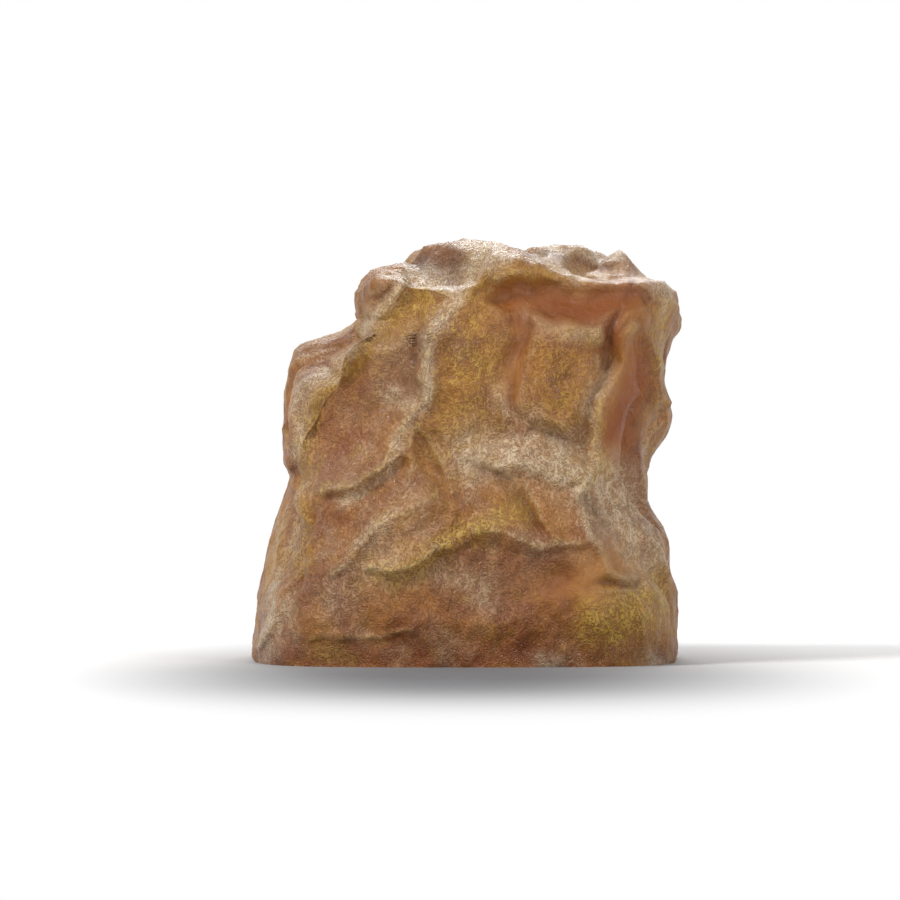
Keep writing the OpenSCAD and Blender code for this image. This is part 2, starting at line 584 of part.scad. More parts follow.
module driver_gasket() color("#1d1d1d") on_driver() difference() {
    washer(flange_r - 0.5, throat_r + 0.5, -seat_step, flange_bottom);
    ring_of(driver_screw_n, driver_bolt_r, driver_screw_turn)
        rod(driver_shank_r + shank_gap, -seat_step - 1, flange_bottom + 1);
}
module driver_screws() color("#3a3a3c") on_driver()
    ring_of(driver_screw_n, driver_bolt_r, driver_screw_turn)
        translate([0, 0, flange_top]) screw(driver_shank_r, driver_screw_l, 3.4, 2.2);

// Radii along the moving system, from the flange in
surround_r = driver_bolt_r - 4.5;
surround_lip = 3.5;
roll_mid_r = surround_r - surround_lip - roll_r;
cone_r = roll_mid_r - roll_r;
glue_lip = 3;
surround_seat = flange_top - 1.2;
former_r = former_d / 2;
former_t = 0.2;
coil_r = former_r + former_t;
coil_out_r = coil_r + coil_t;
plate_bore_r = coil_out_r + coil_gap;
pole_r = former_r - coil_gap;
magnet_r = magnet_d / 2;
motor_plate_r = magnet_r - 3;
magnet_bore_r = plate_bore_r + 8.5;
cup_r = motor_plate_r + 5;
cup_t = 3;
spider_r = cup_r - 3;
spider_seat = motor_top + cup_t + 2.5;
basket_wall = 2.5;

// Stamped basket: flange, windowed cone, and a cup that seats the spider and the motor
module basket() color("#3c3d40") on_driver() difference() {
    rotate_extrude() polygon([[flange_r, flange_bottom], [flange_r, flange_top],
        [surround_r + 0.5, flange_top], [surround_r + 0.5, surround_seat],
        [surround_r - surround_lip, surround_seat], [surround_r - surround_lip, surround_seat - 7],
        [cup_r - basket_wall + 2, spider_seat], [spider_r - 3, spider_seat],
        [spider_r - 3, motor_top + cup_t], [magnet_bore_r, motor_top + cup_t],
        [magnet_bore_r, motor_top], [cup_r, motor_top],
        [surround_r - 0.8, surround_seat - 9], [surround_r - 0.8, flange_bottom]]);
    for (i = [0:window_n - 1]) rotate(tag_turn + 360 * i / window_n - window_angle / 2)
        rotate_extrude(angle = window_angle)
            translate([cup_r - 2, spider_seat + 5]) square([flange_r - cup_r, window_h]);
    ring_of(driver_screw_n, driver_bolt_r, driver_screw_turn)
        rod(driver_shank_r + shank_gap, flange_bottom - 1, flange_top + 1);
    tag_rivet_places() rod(tag_rivet_d / 2 + shank_gap, motor_top - 1, motor_top + cup_t + 1);
}
window_angle = 216 / window_n;
window_h = surround_seat - 13 - spider_seat - 5;

// Half roll of rubber with a flat lip outside and a lip glued under the cone's edge inside
cone_top = surround_seat - 0.3;
module surround() color("#181818") on_driver() rotate_extrude() difference() {
    union() {
        translate([surround_r - surround_lip - 0.2, surround_seat]) square([surround_lip + 0.2, surround_t]);
        translate([roll_mid_r, surround_seat]) difference() {
            circle(roll_r + surround_t / 2);
            circle(roll_r - surround_t / 2);
            translate([-2 * roll_r, -2 * roll_r]) square([4 * roll_r, 2 * roll_r]);
        }
        translate([cone_r - glue_lip, surround_seat]) square([glue_lip + 0.2, surround_t]);
    }
}
neck_r = coil_r + 0.05;
neck_top = cone_top - cone_depth;
// Paper cone: a slightly curved wall from the former to the surround's lip
function cone_line(t, drop) = [blend(neck_r, cone_r - glue_lip, t),
    neck_top + cone_depth * (0.88 * t + 0.12 * t * t) - drop];
cone_steps = 10;
module cone() color("#4a4a4c") on_driver() rotate_extrude() polygon(concat(
    [for (i = [0:cone_steps]) cone_line(i / cone_steps, 0)],
    [[cone_r, cone_top], [cone_r, cone_top - cone_t]],
    [for (i = [cone_steps:-1:0]) cone_line(i / cone_steps, cone_t)]));

// The coil overhangs the gap, so that it stays in it over the cone's whole travel
coil_l = motor_plate_t + cone_travel + 1;
coil_mid = motor_top - motor_plate_t / 2;
former_bottom = coil_mid - coil_l / 2 - 1;
module voice_coil_former() color("#b08a3c") on_driver()
    washer(coil_r, former_r, former_bottom, neck_top + 2);
module voice_coil() color("#b5622e") on_driver()
    washer(coil_out_r, coil_r + 0.01, coil_mid - coil_l / 2, coil_mid + coil_l / 2);

// Corrugated cloth disc between the former and its seat in the basket
spider_t = 0.6;
spider_waves = 5;
spider_in_r = coil_r + 0.3;
function spider_line(t, lift) = [blend(spider_in_r, spider_r - 2.5, t),
    spider_seat + lift + 1 - cos(360 * spider_waves * t)];
spider_steps = 40;
module spider() color("#c9a24a") on_driver() rotate_extrude() polygon(concat(
    [for (i = [0:spider_steps]) spider_line(i / spider_steps, spider_t)],
    [[spider_r, spider_seat + spider_t], [spider_r, spider_seat]],
    [for (i = [spider_steps:-1:0]) spider_line(i / spider_steps, 0)]));

magnet_top = motor_top - motor_plate_t;
magnet_bottom = magnet_top - magnet_t;
motor_bottom = magnet_bottom - motor_plate_t;
post_r = post_d / 2;
module top_plate() color("#a8adb0") on_driver() washer(motor_plate_r, plate_bore_r, magnet_top, motor_top);
module magnet() color("#2c2c2e") on_driver() washer(magnet_r, magnet_bore_r, magnet_bottom, magnet_top);
module back_plate() color("#a8adb0") on_driver() rotate_extrude() polygon([
    [post_r + slip_gap, motor_bottom], [motor_plate_r, motor_bottom], [motor_plate_r, magnet_bottom],
    [pole_r + 4, magnet_bottom], [pole_r, magnet_bottom + 4], [pole_r, motor_top + 1],
    [post_r + slip_gap, motor_top + 1]]);

// The tweeter stands on a tube through the pole, ahead of the cone
tweeter_r = tweeter_d / 2;
tweeter_front = 1;
tweeter_back = tweeter_front - tweeter_depth;
tweeter_floor = 2;
nut_h = 5;
post_shoulder = 1.5;
module tweeter_post() color("#9a9ea2") on_driver() difference() {
    union() {
        rod(post_r, motor_bottom - nut_h - 2, tweeter_back);
        rod(post_r + 2, motor_top + 1, motor_top + 1 + post_shoulder);
        rod(post_r - 1.2, tweeter_back - 1, tweeter_back + tweeter_floor);
    }
    rod(post_bore / 2, motor_bottom - nut_h - 3, tweeter_back + tweeter_floor + 1);
}
module post_nut() color("#c0c4c6") on_driver() translate([0, 0, motor_bottom - nut_h]) difference() {
    cylinder(r = post_r * 1.75, h = nut_h, $fn = 6);
    rod(post_r + slip_gap, -1, nut_h + 1);
}
pot_r = dome_d / 2 + 2.5;
module tweeter_housing() color("#222224") on_driver() difference() {
    rotate_extrude() polygon([[tweeter_r - 1, tweeter_front], [dome_d / 2 + 1.4, tweeter_front - 2.4],
        [dome_d / 2 + 1.4, tweeter_front - 4], [pot_r + slip_gap, tweeter_front - 4],
        [pot_r + slip_gap, tweeter_back + tweeter_floor], [0, tweeter_back + tweeter_floor],
        [0, tweeter_back], [tweeter_r - 5, tweeter_back], [tweeter_r, tweeter_back + 5],
        [tweeter_r, tweeter_front - 1]]);
    rod(post_r - 1.2 + slip_gap, tweeter_back - 1, tweeter_back + tweeter_floor + 1);
}
pot_bottom = tweeter_back + tweeter_floor;
pot_top = tweeter_front - 4;
module tweeter_pot() color("#8f9396") on_driver() difference() {
    rod(pot_r, pot_bottom, pot_top);
    rod(pot_r - 1.5, pot_bottom + 2.6, pot_top + 1);
    rod(1.2, pot_bottom - 1, pot_top);
}
module tweeter_magnet() color("#5a5c60") on_driver()
    rod(pot_r - 4, pot_bottom + 2.6, pot_top - 0.8);
// Soft dome on its flat rim
dome_h = dome_d * 0.28;
dome_ball_r = (pow(dome_d / 2, 2) + pow(dome_h, 2)) / (2 * dome_h);
dome_t = 0.4;
module tweeter_dome() color("#6b5a3e") on_driver() translate([0, 0, pot_top]) union() {
    washer(dome_d / 2 + 1.2, dome_d / 2 - 0.6, 0, dome_t);
    rotate_extrude() intersection() {
        translate([0, dome_h - dome_ball_r]) difference() {
            circle(dome_ball_r + dome_t / 2, $fn = 96);
            circle(dome_ball_r - dome_t / 2, $fn = 96);
        }
        square([dome_d / 2 - 0.2, dome_h * 2]);
    }
}

// Terminals of the woofer, riveted under the rim of the basket's cup on the left
tag_turn = 180;
tag_rivet_r = cup_r - 2.2;
tag_rivet_d = 2;
tag_t = 1.6;
tag_out = 15;
tag_w = 28;
tag_tab_x = cup_r + 8;
tag_gap = 16;
tag_bottom = motor_top - tag_t;
module tag_strip() color("#8a6a3a") on_driver() difference() {
    translate([-cup_r - tag_out, -tag_w / 2, tag_bottom])
        cube([tag_out + cup_r - motor_plate_r - 0.8, tag_w, tag_t]);
    rod(motor_plate_r + 0.6, tag_bottom - 1, motor_top + 1);
    tag_rivet_places() rod(tag_rivet_d / 2 + shank_gap, tag_bottom - 1, motor_top + 1);
    tag_places() translate([-0.5, -tab_w / 2 - 0.1, tag_bottom - 1]) cube([1, tab_w + 0.2, tag_t + 2]);
}
tab_w = 4.8;
tab_l = 7;
tab_t = 0.8;
module tag_places() for (s = [-1, 1]) translate([-tag_tab_x, s * tag_gap / 2, 0]) children();
module tag_rivet_places() for (s = [-1, 1]) rotate(tag_turn + 9 * s) translate([tag_rivet_r, 0, 0]) children();
module tag_terminals() color("#c9a63e") on_driver() tag_places() {
    translate([-tab_t / 2, -tab_w / 2, tag_bottom - tab_l]) cube([tab_t, tab_w, tab_l + tag_t]);
    translate([-2.5, -tab_w / 2, motor_top]) cube([5, tab_w, 0.8]);
}
module tag_rivets() color("#b9bcbe") on_driver() tag_rivet_places() {
    rod(tag_rivet_d / 2, tag_bottom, motor_top + cup_t);
    rod(1.7, tag_bottom - 0.9, tag_bottom);
}

// Tubes that follow a list of points, smoothed between them
function unit_vec(v) = v / norm(v);
function spline(p0, p1, p2, p3, t) = 0.5 * (2 * p1 + (p2 - p0) * t
    + (2 * p0 - 5 * p1 + 4 * p2 - p3) * t * t + (3 * p1 - p0 - 3 * p2 + p3) * t * t * t);
function smooth(p, n) = concat([for (i = [0:len(p) - 2], k = [0:n - 1])
    spline(p[max(0, i - 1)], p[i], p[i + 1], p[min(len(p) - 1, i + 2)], k / n)], [p[len(p) - 1]]);
function heading(p, i) = unit_vec(p[min(len(p) - 1, i + 1)] - p[max(0, i - 1)]);
function upright(v, t) = unit_vec(v - (v * t) * t);
function normals(p, i, last) = i >= len(p) ? []
    : let (v = upright(last, heading(p, i))) concat([v], normals(p, i + 1, v));
module tube(path, r, sides = 8) {
    first_n = normals(path, 0, [0.3, 0.2, 1]);
    points = [for (i = [0:len(path) - 1]) let (t = heading(path, i), u = first_n[i], w = cross(t, u))
        each [for (k = [0:sides - 1]) path[i] + r * (cos(360 * k / sides) * u + sin(360 * k / sides) * w)]];
    faces = concat([[for (k = [sides - 1:-1:0]) k]],
        [for (i = [0:len(path) - 2], k = [0:sides - 1]) let (j = (k + 1) % sides)
            [i * sides + k, i * sides + j, (i + 1) * sides + j, (i + 1) * sides + k]],
        [[for (k = [0:sides - 1]) (len(path) - 1) * sides + k]]);
    polyhedron(points = points, faces = [for (f = faces) [for (k = [len(f) - 1:-1:0]) f[k]]]);
}

// Braided leads from the tags, through a window of the basket, to the back of the cone
tinsel_r = 0.7;
tinsel_share = 0.55;
function tinsel_end(s) = let (p = cone_line(tinsel_share, cone_t), w = 0.2 * p[0])
    [-sqrt(p[0] * p[0] - w * w), s * w, p[1] - tinsel_r - 0.4];
module tinsel_leads() color("#b98a4a") for (s = [-1, 1])
    tube(smooth([for (p = [[-tag_tab_x + 1.5, s * tag_gap / 2, motor_top + 0.9 + tinsel_r],
        [-tag_tab_x - 4, s * tag_gap / 2, motor_top + 9], [-tag_tab_x, s * tag_gap / 2, motor_top + 17],
        tinsel_end(s)]) from_driver(p)], 4), tinsel_r);

// Base plate in the skirt, screwed up into the ledge over its gasket
plate_top = skirt_h - base_gasket_t;
plate_bottom = plate_top - plate_t;
base_shank_r = 2;
base_screw_top = skirt_h + ledge_t - 2.5;
base_screw_head = 2.5;
base_screw_inset = skirt_wall + ledge_w / 2;
function base_screw_angle(i) = 360 * (i + 0.5) / base_screw_n;
module on_base_screws() for (i = [0:base_screw_n - 1])
    translate(concat(skirt_point(base_screw_angle(i), base_screw_inset), [0])) children();
board_mid = [-46, -28];
board_screw_in = 5;
board_screw_r = 1.5;
board_screw_l = 8;
board_bottom = plate_top + boss_h;
board_top = board_bottom + board_t;
module on_board_screws() for (sx = [-1, 1], sy = [-1, 1])
    translate([board_mid[0] + sx * (board_l / 2 - board_screw_in),
        board_mid[1] + sy * (board_w / 2 - board_screw_in), 0]) children();
module base_plate() color("#3a3733") difference() {
    union() {
        translate([0, 0, plate_bottom]) linear_extrude(plate_t) polygon(skirt_outline(skirt_wall + drop_gap));
        on_board_screws() rod(4, plate_top - 1, board_bottom);
        translate([gland_x, gland_y, 0]) rod(gland_af / 2 + 4, plate_bottom, plate_top);
    }
    on_base_screws() rod(base_shank_r + shank_gap, plate_bottom - 1, plate_top + 1);
    on_board_screws() rod(board_screw_r + slip_gap, board_top - board_screw_l - 1, board_bottom + 1);
    translate([gland_x, gland_y, 0]) rod(gland_thread_d / 2 + slip_gap, plate_bottom - 1, plate_top + 1);
}
module base_gasket() color("#151515") difference() {
    translate([0, 0, plate_top]) linear_extrude(base_gasket_t) difference() {
        polygon(skirt_outline(skirt_wall + drop_gap));
        polygon(skirt_outline(skirt_wall + ledge_w - 1));
    }
    on_base_screws() rod(base_shank_r + shank_gap, plate_top - 1, skirt_h + 1);
}
module base_screws() color("#9fa3a6") on_base_screws() translate([0, 0, plate_bottom]) mirror([0, 0, 1])
    screw(base_shank_r, base_screw_top - plate_bottom, 4, base_screw_head);

// Cable gland through the base plate, with its cap and seal below
gland_r = gland_thread_d / 2;
hex_h = 6;
collar_l = 11;
washer_t = 1;
cap_wall = 2.2;
gland_hex_top = plate_bottom - washer_t;
gland_hex_bottom = gland_hex_top - hex_h;
collar_bottom = gland_hex_bottom - collar_l;
locknut_h = 5;
seal_r = gland_r - 1.6;
module on_gland() translate([gland_x, gland_y, 0]) children();
module gland_body() color("#2a2a2a") on_gland() difference() {
    union() {
        rod(gland_r, gland_hex_top - 1, plate_top + locknut_h + 2);
        translate([0, 0, gland_hex_bottom]) cylinder(d = gland_af / cos(30), h = hex_h, $fn = 6);
        rod(gland_r, collar_bottom, gland_hex_bottom + 1);
    }
    rod(cable_d / 2 + 1, collar_bottom - 1, plate_top + locknut_h + 3);
    rod(seal_r + slip_gap, collar_bottom - 1, gland_hex_bottom - 1);
}
module gland_seal() color("#5a5a58") on_gland()
    washer(seal_r, cable_d / 2, collar_bottom, gland_hex_bottom - 1.2);
module gland_cap() color("#2a2a2a") on_gland() difference() {
    union() {
        translate([0, 0, collar_bottom + 1]) cylinder(d = gland_af / cos(30), h = collar_l - 1.4, $fn = 6);
        translate([0, 0, collar_bottom - cap_wall])
            cylinder(r1 = gland_r, r2 = gland_r + 2.4, h = cap_wall + 1.2);
    }
    rod(gland_r + slip_gap, collar_bottom, gland_hex_bottom + 1);
    rod(cable_d / 2 + 0.8, collar_bottom - cap_wall - 1, collar_bottom + 1);
}
module gland_washer() color("#101010") on_gland()
    washer(gland_af / 2 - 0.5, gland_r + slip_gap, gland_hex_top, plate_bottom);
module gland_locknut() color("#2a2a2a") on_gland() translate([0, 0, plate_top]) difference() {
    cylinder(d = gland_af / cos(30), h = locknut_h, $fn = 6);
    rod(gland_r + slip_gap, -1, locknut_h + 1);
}

// Crossover: a board on the base plate's bosses, with its coil, capacitors, resistor and terminals
inductor_at = [board_mid[0] - board_l / 2 + inductor_d / 2 + 4, board_mid[1] + board_w / 2 - inductor_d / 2 - 9];
block_l = 40;
block_w = 9;
block_h = 11;
block_poles = 6;
block_at = [board_mid[0] + 6, board_mid[1] - board_w / 2 + block_w / 2 + 1.5];
cap_at = [board_mid[0] + board_l / 2 - cap_d / 2 - 4, board_mid[1] + 6];
small_cap_d = 13;
small_cap_l = 24;
small_cap_at = [board_mid[0] + board_l / 2 - cap_d - small_cap_d / 2 - 8, board_mid[1] + 10];
resistor_size = [8, 24, 8];
resistor_at = [board_mid[0] + board_l / 2 - cap_d - small_cap_d - resistor_size[0] / 2 - 12, board_mid[1] + 8];
module crossover_board() color("#4f6a3a") difference() {
    translate([board_mid[0] - board_l / 2, board_mid[1] - board_w / 2, board_bottom])
        cube([board_l, board_w, board_t]);
    on_board_screws() rod(board_screw_r + slip_gap, board_bottom - 1, board_top + 1);
}
module board_screws() color("#b9bcbe") on_board_screws() translate([0, 0, board_top])
    screw(board_screw_r, board_screw_l, 2.8, 1.8);
bobbin_core_r = inductor_d / 4;
bobbin_flange_t = 1.5;
module inductor_bobbin() color("#2e2e30") translate([inductor_at[0], inductor_at[1], board_top])
    rotate_extrude() polygon([[3, 0], [inductor_d / 2, 0], [inductor_d / 2, bobbin_flange_t],
        [bobbin_core_r, bobbin_flange_t], [bobbin_core_r, inductor_h - bobbin_flange_t],
        [inductor_d / 2, inductor_h - bobbin_flange_t], [inductor_d / 2, inductor_h], [3, inductor_h]]);
module inductor_coil() color("#b5622e") translate([inductor_at[0], inductor_at[1], board_top])
    washer(inductor_d / 2 - 1.2, bobbin_core_r + 0.01, bobbin_flange_t, inductor_h - bobbin_flange_t);
// Capacitor lying along y, with rolled ends
module capacitor(d, l) rotate([-90, 0, 0]) translate([0, 0, -l / 2]) rotate_extrude() polygon([[0, 0],
    [d / 2 - 1, 0], [d / 2, 1], [d / 2, l - 1], [d / 2 - 1, l], [0, l]]);
module large_capacitor() color("#c8a02e") translate([cap_at[0], cap_at[1], board_top + cap_d / 2])
    capacitor(cap_d, cap_l);
module small_capacitor() color("#8a2a22")
    translate([small_cap_at[0], small_cap_at[1], board_top + small_cap_d / 2]) capacitor(small_cap_d, small_cap_l);
module resistor() color("#e8e4da") translate([resistor_at[0] - resistor_size[0] / 2,
    resistor_at[1] - resistor_size[1] / 2, board_top]) cube(resistor_size);
pole_pitch = block_l / block_poles;
function pole_x(i) = block_at[0] - block_l / 2 + pole_pitch * (i + 0.5);
wire_hole_z = board_top + 4;
module terminal_block() color("#2f7a4a") difference() {
    translate([block_at[0] - block_l / 2, block_at[1] - block_w / 2, board_top]) cube([block_l, block_w, block_h]);
    for (i = [0:block_poles - 1]) {
        translate([pole_x(i), block_at[1], 0]) rod(1.9, board_top + block_h - 4, board_top + block_h + 1);
        translate([pole_x(i) - 1.9, block_at[1] - block_w / 2 - 1, wire_hole_z - 1.9]) cube([3.8, 4, 3.8]);
    }
}
module terminal_screws() color("#b9bcbe") for (i = [0:block_poles - 1])
    translate([pole_x(i), block_at[1], board_top + block_h - 4]) difference() {
        rod(1.8, 0, 3);
        translate([-2, -0.25, 2]) cube([4, 0.5, 2]);
    }

// Push-on connectors over the woofer's tags, and the leads from the terminals to them
connector_l = 8;
connector_w = 6.4;
connector_t = 3;
connector_top = tag_bottom - 0.6;
module lead_connectors() color("#d8c8a0") on_driver() tag_places() difference() {
    translate([-connector_t / 2, -connector_w / 2, connector_top - connector_l])
        cube([connector_t, connector_w, connector_l]);
    translate([-tab_t / 2 - slip_gap, -tab_w / 2 - slip_gap, tag_bottom - tab_l - slip_gap])
        cube([tab_t + 2 * slip_gap, tab_w + 2 * slip_gap, tab_l]);
    translate([0, 0, connector_top - connector_l - 1]) rod(0.4, 0, 2);
}
function tag_lead_end(s) = from_driver([-tag_tab_x, s * tag_gap / 2, connector_top - connector_l]);
function tag_lead_off(s) = from_driver([-tag_tab_x, s * tag_gap / 2, connector_top - connector_l - 12]);
function block_lead_end(i) = [pole_x(i), block_at[1] - block_w / 2 + 3, wire_hole_z];
function block_lead_off(i, d) = [pole_x(i), block_at[1] - block_w / 2 - d, wire_hole_z];
lead_steps = 5;
// A smoothed run between two ends that are straight
function lead_run(start, mids, end) = concat([start[0]], smooth(concat([start[1]], mids, [end[0]]), lead_steps),
    [end[1]]);
module woofer_lead(pole, side, mids) tube(lead_run([block_lead_end(pole), block_lead_off(pole, 6)], mids,
    [tag_lead_off(side), tag_lead_end(side)]), lead_d / 2);
red_mids = [[-80 * kx, -76, 62], [-104 * kx, -46, 84], [-92 * kx, 0, 112]];
black_mids = [[-66 * kx, -82, 66], [-98 * kx, -52, 98], [-84 * kx, -6, 130]];
module woofer_lead_red() color("#b0201c") woofer_lead(1, 1, red_mids);
module woofer_lead_black() color("#1a1a1a") woofer_lead(2, -1, black_mids);
// The two cores to the tweeter run side by side up the bore of its post
tweeter_mids = [[-4, -84, 62], [22, -76, 92], [20, -30, 128]];
core_out = tweeter_lead_d / 2 + 0.4;
function core_end(s, a) = from_driver([s * core_out, 0, a]);
module tweeter_leads() color("#4a4a4e") for (s = [-1, 1]) let (pole = s < 0 ? 4 : 5)
    tube(lead_run([block_lead_end(pole), block_lead_off(pole, 8)],
        concat([for (p = tweeter_mids) p + [s * core_out, 0, 0]], [core_end(s, motor_bottom - 24)]),
        [core_end(s, motor_bottom - nut_h - 6), core_end(s, pot_bottom)]), tweeter_lead_d / 2);

rock_shell();
grille();
grille_screws();
driver_gasket();
driver_screws();
basket();
surround();
cone();
voice_coil_former();
voice_coil();
spider();
top_plate();
magnet();
back_plate();
tweeter_post();
post_nut();
tweeter_housing();
tweeter_pot();
tweeter_magnet();
tweeter_dome();
tag_strip();
tag_terminals();
tag_rivets();
tinsel_leads();
base_plate();
base_gasket();
base_screws();
gland_body();
gland_seal();
gland_cap();
gland_washer();
gland_locknut();
crossover_board();
board_screws();
inductor_bobbin();
inductor_coil();
large_capacitor();
small_capacitor();
resistor();
terminal_block();
terminal_screws();
lead_connectors();
woofer_lead_red();
woofer_lead_black();
tweeter_leads();
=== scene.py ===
import functools
import json
import math

import bmesh
import bpy
import numpy as np
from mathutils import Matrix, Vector


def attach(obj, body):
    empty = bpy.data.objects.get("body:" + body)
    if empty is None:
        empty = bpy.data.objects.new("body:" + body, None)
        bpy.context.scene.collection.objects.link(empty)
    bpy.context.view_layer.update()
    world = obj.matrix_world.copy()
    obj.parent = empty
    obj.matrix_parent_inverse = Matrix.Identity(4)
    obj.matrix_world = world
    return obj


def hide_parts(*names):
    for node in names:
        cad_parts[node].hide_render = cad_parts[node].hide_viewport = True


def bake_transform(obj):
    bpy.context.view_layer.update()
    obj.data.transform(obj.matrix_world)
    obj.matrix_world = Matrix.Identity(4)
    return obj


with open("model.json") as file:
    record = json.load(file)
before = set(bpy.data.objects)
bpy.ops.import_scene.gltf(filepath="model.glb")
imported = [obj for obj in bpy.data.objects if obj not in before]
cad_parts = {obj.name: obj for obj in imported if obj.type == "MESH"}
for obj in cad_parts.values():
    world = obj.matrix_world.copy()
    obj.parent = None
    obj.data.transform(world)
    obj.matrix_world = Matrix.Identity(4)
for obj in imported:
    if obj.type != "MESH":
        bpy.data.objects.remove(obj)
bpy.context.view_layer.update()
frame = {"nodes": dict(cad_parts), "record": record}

bl_info = {
    "name": "Garden rock speaker",
    "version": (1, 0, 0),
    "blender": (4, 5, 0),
    "location": "View3D > Sidebar > Speaker",
    "description": "Painted resin rock around a full-range garden speaker, dressed over its CAD frame",
    "category": "Object",
}

# The rock's outline by height, in millimetres, as in the part's source: [height, place]
LEFT_EDGE = [[0, -149], [11, -151], [29, -148], [50, -146], [79, -141], [96, -134], [118, -128],
    [132, -123.5], [141, -128], [171, -128.5], [190, -128], [207, -125], [221, -121], [225, -116],
    [229, -104], [234, -88], [240, -77], [243, -75], [247, -77], [258, -78], [262, -78]]
RIGHT_EDGE = [[0, 150], [21, 150.7], [50, 150], [63, 146.4], [86, 144.3], [99, 138], [107, 132],
    [114, 128.6], [136, 129], [146, 132], [157, 139], [168, 145.7], [175, 147], [182, 146.4],
    [196, 142], [203, 141.4], [214, 143.6], [229, 148], [237, 152], [244, 153], [256, 150.7],
    [262, 149]]
FRONT_DEPTH = [[0, 136], [20, 135], [25, 139], [60, 140], [95, 138], [120, 131], [140, 122],
    [157, 117], [200, 116], [240, 113], [262, 106]]
# The top's outline from left to right: [x, height] at its back crest and at its front rim
SKYLINE = [[-78, 262], [-74, 274], [-64, 281], [-57, 282], [-46, 285], [-38, 290], [-32, 294],
    [-21, 297], [-1, 300], [14, 299], [29, 295], [39, 291.5], [54, 295], [80, 296], [94, 292],
    [104, 294], [112, 295], [119, 285], [125, 277], [131, 273], [141, 271], [149, 262]]
FRONT_RIM = [[-78, 262], [-64, 276], [-46, 275], [-39, 268], [-20, 265], [0, 266], [8, 270],
    [14, 285], [19, 294], [29, 295], [39, 291], [57, 284], [79, 273], [96, 271], [119, 272],
    [131, 271], [141, 270], [149, 262]]
